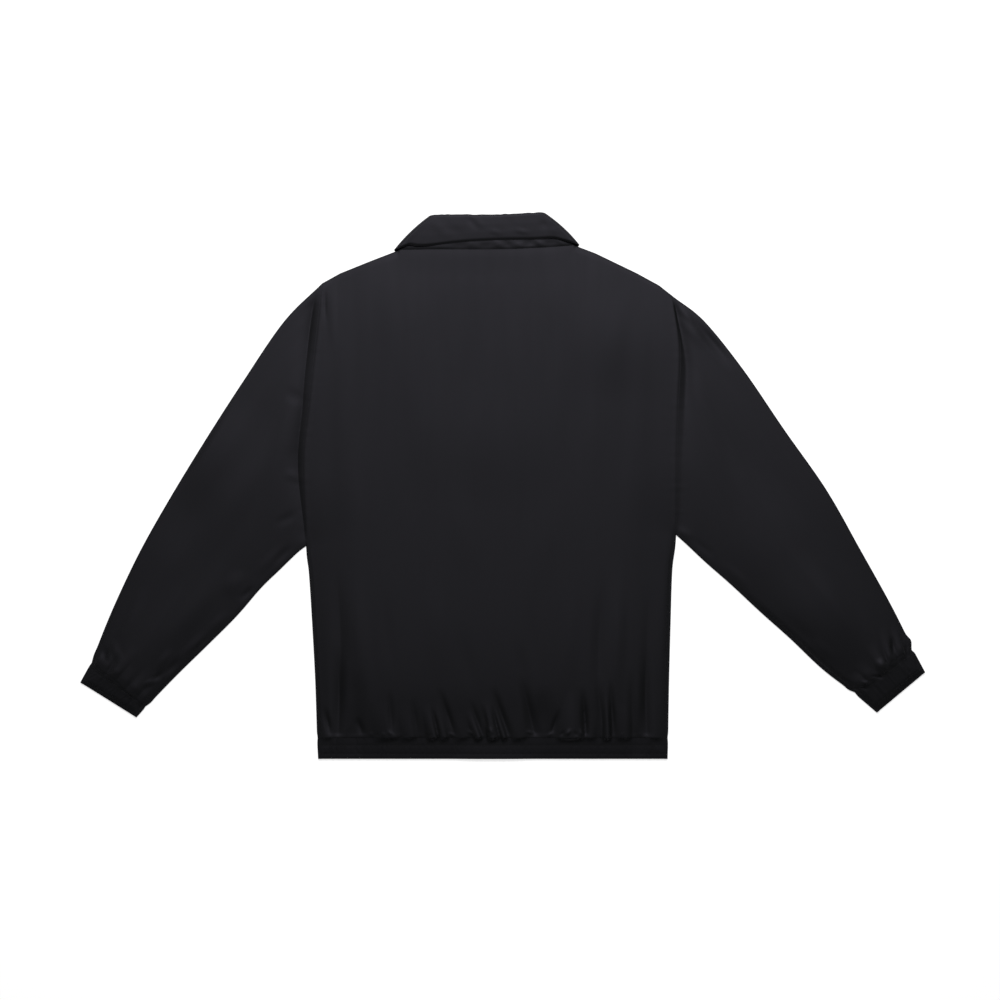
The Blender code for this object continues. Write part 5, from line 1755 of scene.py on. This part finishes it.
def mottle_group():
    """Broad, faint clouds and finer streaks along the warp, as light cloth shows after pressing."""
    group, given, result = new_group(
        "cloth_mottle",
        (
            ("Vector", "NodeSocketVector", None),
            ("Cloud Scale", "NodeSocketFloat", CLOUD_SCALE),
            ("Streak Scale", "NodeSocketFloat", STREAK_SCALE),
        ),
        ("Clouds", "Streaks"),
    )
    clouds = group.nodes.new("ShaderNodeTexNoise")
    clouds.inputs["Detail"].default_value = CLOUD_DETAIL
    clouds.inputs["Roughness"].default_value = CLOUD_ROUGHNESS
    group.links.new(given.outputs["Vector"], clouds.inputs["Vector"])
    group.links.new(given.outputs["Cloud Scale"], clouds.inputs["Scale"])
    stretched = group.nodes.new("ShaderNodeMapping")
    stretched.inputs["Scale"].default_value = STREAK_STRETCH
    group.links.new(given.outputs["Vector"], stretched.inputs["Vector"])
    streaks = group.nodes.new("ShaderNodeTexNoise")
    streaks.inputs["Detail"].default_value = STREAK_DETAIL
    group.links.new(stretched.outputs["Vector"], streaks.inputs["Vector"])
    group.links.new(given.outputs["Streak Scale"], streaks.inputs["Scale"])
    group.links.new(clouds.outputs["Fac"], result.inputs["Clouds"])
    group.links.new(streaks.outputs["Fac"], result.inputs["Streaks"])
    return group


def tint_between(tree, share, dark, light, shader):
    """Colour a shader between dark and light by the value of a socket."""
    tint = tree.nodes.new("ShaderNodeMix")
    tint.data_type = "RGBA"
    tint.inputs[MIX_FIRST].default_value = (*dark, 1.0)
    tint.inputs[MIX_SECOND].default_value = (*light, 1.0)
    tree.links.new(share, tint.inputs[MIX_SHARE])
    tree.links.new(tint.outputs[MIX_RESULT], shader.inputs["Base Color"])


def roughen_between(tree, share, low, high, shader):
    """Set a shader's roughness between two values by the value of a socket."""
    rough = tree.nodes.new("ShaderNodeMapRange")
    rough.inputs["To Min"].default_value = low
    rough.inputs["To Max"].default_value = high
    tree.links.new(share, rough.inputs["Value"])
    tree.links.new(rough.outputs["Result"], shader.inputs["Roughness"])


def cloth_material(name, finish, weave, mottle):
    """Fine woven nylon: near black, with a satin gloss that varies a little over the cloth."""
    made = bpy.data.materials.new(name)
    made.use_nodes = True
    tree = made.node_tree
    shader = tree.nodes["Principled BSDF"]
    shader.inputs["Specular IOR Level"].default_value = finish.specular
    shader.inputs["Specular Tint"].default_value = (*CLOTH_GLOSS_TINT, 1.0)
    cloth = tree.nodes.new("ShaderNodeUVMap")
    cloth.uv_map = "cloth"
    threads, clouds = tree.nodes.new("ShaderNodeGroup"), tree.nodes.new("ShaderNodeGroup")
    threads.node_tree, clouds.node_tree = weave, mottle
    threads.inputs["Threads"].default_value = CLOTH_THREADS
    for group in (threads, clouds):
        tree.links.new(cloth.outputs["UV"], group.inputs["Vector"])
    share = math_node(tree, "MULTIPLY_ADD", clouds.outputs["Clouds"], CLOUD_TINT, CLOUD_TINT_START)
    tint_between(tree, share, finish.dark, finish.light, shader)
    roughen_between(tree, clouds.outputs["Streaks"], finish.rough_low, finish.rough_high, shader)
    bump = tree.nodes.new("ShaderNodeBump")
    bump.inputs["Strength"].default_value = WEAVE_STRENGTH
    bump.inputs["Distance"].default_value = finish.weave_depth
    tree.links.new(threads.outputs["Height"], bump.inputs["Height"])
    tree.links.new(bump.outputs["Normal"], shader.inputs["Normal"])
    return made


def plain_material(name, finish):
    """A moulded or spun finish with faint clouds in its colour and gloss."""
    made = bpy.data.materials.new(name)
    made.use_nodes = True
    tree = made.node_tree
    shader = tree.nodes["Principled BSDF"]
    place = tree.nodes.new("ShaderNodeTexCoord")
    noise = tree.nodes.new("ShaderNodeTexNoise")
    noise.inputs["Scale"].default_value = finish.scale
    noise.inputs["Detail"].default_value = CLOUD_DETAIL
    tree.links.new(place.outputs["Object"], noise.inputs["Vector"])
    tint_between(tree, noise.outputs["Fac"], finish.dark, finish.light, shader)
    low, high = finish.roughness - ROUGHNESS_SPREAD, finish.roughness + ROUGHNESS_SPREAD
    roughen_between(tree, noise.outputs["Fac"], low, high, shader)
    return made


# Studio: a white table, one large soft light past the collar, weak fill and a camera straight above
CAMERA_HEIGHT = 3.0
CAMERA_X, CAMERA_Y = -0.0038, -0.021
PICTURE_WIDTH = 1.4437
SENSOR = 36.0
CLOTH_TOP = 0.006
TABLE_SIZE = 12.0
TABLE_SQUARES = 8
TABLE_DROP = 0.0003
TABLE_GLOW = 0.75
KEY_PLACE = (0.0, 1.52, 2.28)
KEY_SIZE = (2.0, 1.2)
KEY_POWER = 41.3
FILL_STRENGTH = 0.03


def aim(holder, target):
    """Turn a light towards a point that isn't straight below it."""
    way = np.array(target) - np.array(holder.location)
    tilt = math.atan2(math.hypot(way[0], way[1]), -way[2])
    holder.rotation_euler = (tilt, 0.0, math.atan2(-way[0], way[1]))


def make_table():
    """A white table top that glows a little, as a lit product table does."""
    maker = bmesh.new()
    bmesh.ops.create_grid(
        maker,
        x_segments=TABLE_SQUARES,
        y_segments=TABLE_SQUARES,
        size=TABLE_SIZE / 2,
    )
    bmesh.ops.translate(maker, vec=(0, 0, -TABLE_DROP), verts=maker.verts)
    mesh = bpy.data.meshes.new("table_top")
    maker.to_mesh(mesh)
    maker.free()
    finish = plain_material("white_table", TABLE_FINISH)
    shader = finish.node_tree.nodes["Principled BSDF"]
    shader.inputs["Specular IOR Level"].default_value = 0.0
    shader.inputs["Emission Color"].default_value = (1.0, 1.0, 1.0, 1.0)
    shader.inputs["Emission Strength"].default_value = TABLE_GLOW
    mesh.materials.append(finish)
    table = bpy.data.objects.new("table_top", mesh)
    bpy.context.collection.objects.link(table)


def make_studio():
    """The table, the light, the fill and the camera."""
    make_table()
    light = bpy.data.lights.new("soft_box", "AREA")
    light.shape = "RECTANGLE"
    light.size, light.size_y = KEY_SIZE
    light.energy = KEY_POWER
    holder = bpy.data.objects.new("soft_box", light)
    holder.location = KEY_PLACE
    bpy.context.collection.objects.link(holder)
    aim(holder, (0.0, 0.0, 0.0))
    world = bpy.data.worlds.new("studio_fill")
    world.use_nodes = True
    world.node_tree.nodes["Background"].inputs["Color"].default_value = (1.0, 1.0, 1.0, 1.0)
    world.node_tree.nodes["Background"].inputs["Strength"].default_value = FILL_STRENGTH
    bpy.context.scene.world = world
    lens = bpy.data.cameras.new("camera")
    lens.sensor_width = SENSOR
    lens.lens = SENSOR * CAMERA_HEIGHT / PICTURE_WIDTH
    camera = bpy.data.objects.new("camera", lens)
    camera.location = (CAMERA_X, CAMERA_Y, CAMERA_HEIGHT + CLOTH_TOP)
    bpy.context.collection.objects.link(camera)
    bpy.context.scene.camera = camera
    bpy.context.scene.view_settings.view_transform = "Standard"


# Flat size of each cut piece in metres: width, length and area
Cut = namedtuple("Cut", "width length area")


def make_jacket():
    """All pieces of the jacket, each with the node that it replaces."""
    weave, mottle = weave_group(), mottle_group()
    panel = cloth_material("black_nylon", PANEL_FINISH, weave, mottle)
    band = cloth_material("black_nylon_band", BAND_FINISH, weave, mottle)
    thread = plain_material("black_thread", THREAD_FINISH)
    snap = plain_material("black_snap", SNAP_FINISH)
    surface = collar_surface()
    cloth = {"back": make_back(panel), "hem_back": make_hem_back(band), "collar": make_collar(surface, panel)}
    cloth.update(make_fronts(panel, band))
    cloth.update(make_sleeves(panel, band))
    for node, piece in make_snaps(snap).items():
        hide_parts(node)
    tree = stitch_tree(thread)
    sewn = {
        "hem_back": stitches("hem_back_stitches", hem_back_paths(), tree, thread),
        "hem_front_left": stitches("hem_front_left_stitches", hem_front_paths(-1), tree, thread),
        "hem_front_right": stitches("hem_front_right_stitches", hem_front_paths(1), tree, thread),
        "cuff_left": stitches("cuff_left_stitches", cuff_paths(-1), tree, thread),
        "cuff_right": stitches("cuff_right_stitches", cuff_paths(1), tree, thread),
        "collar": stitches("collar_stitches", collar_paths(surface), tree, thread),
        "front_left": stitches("front_edge_stitches", front_edge_path(), tree, thread),
    }
    for node, piece in cloth.items():
        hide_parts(node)


make_jacket()
make_studio()
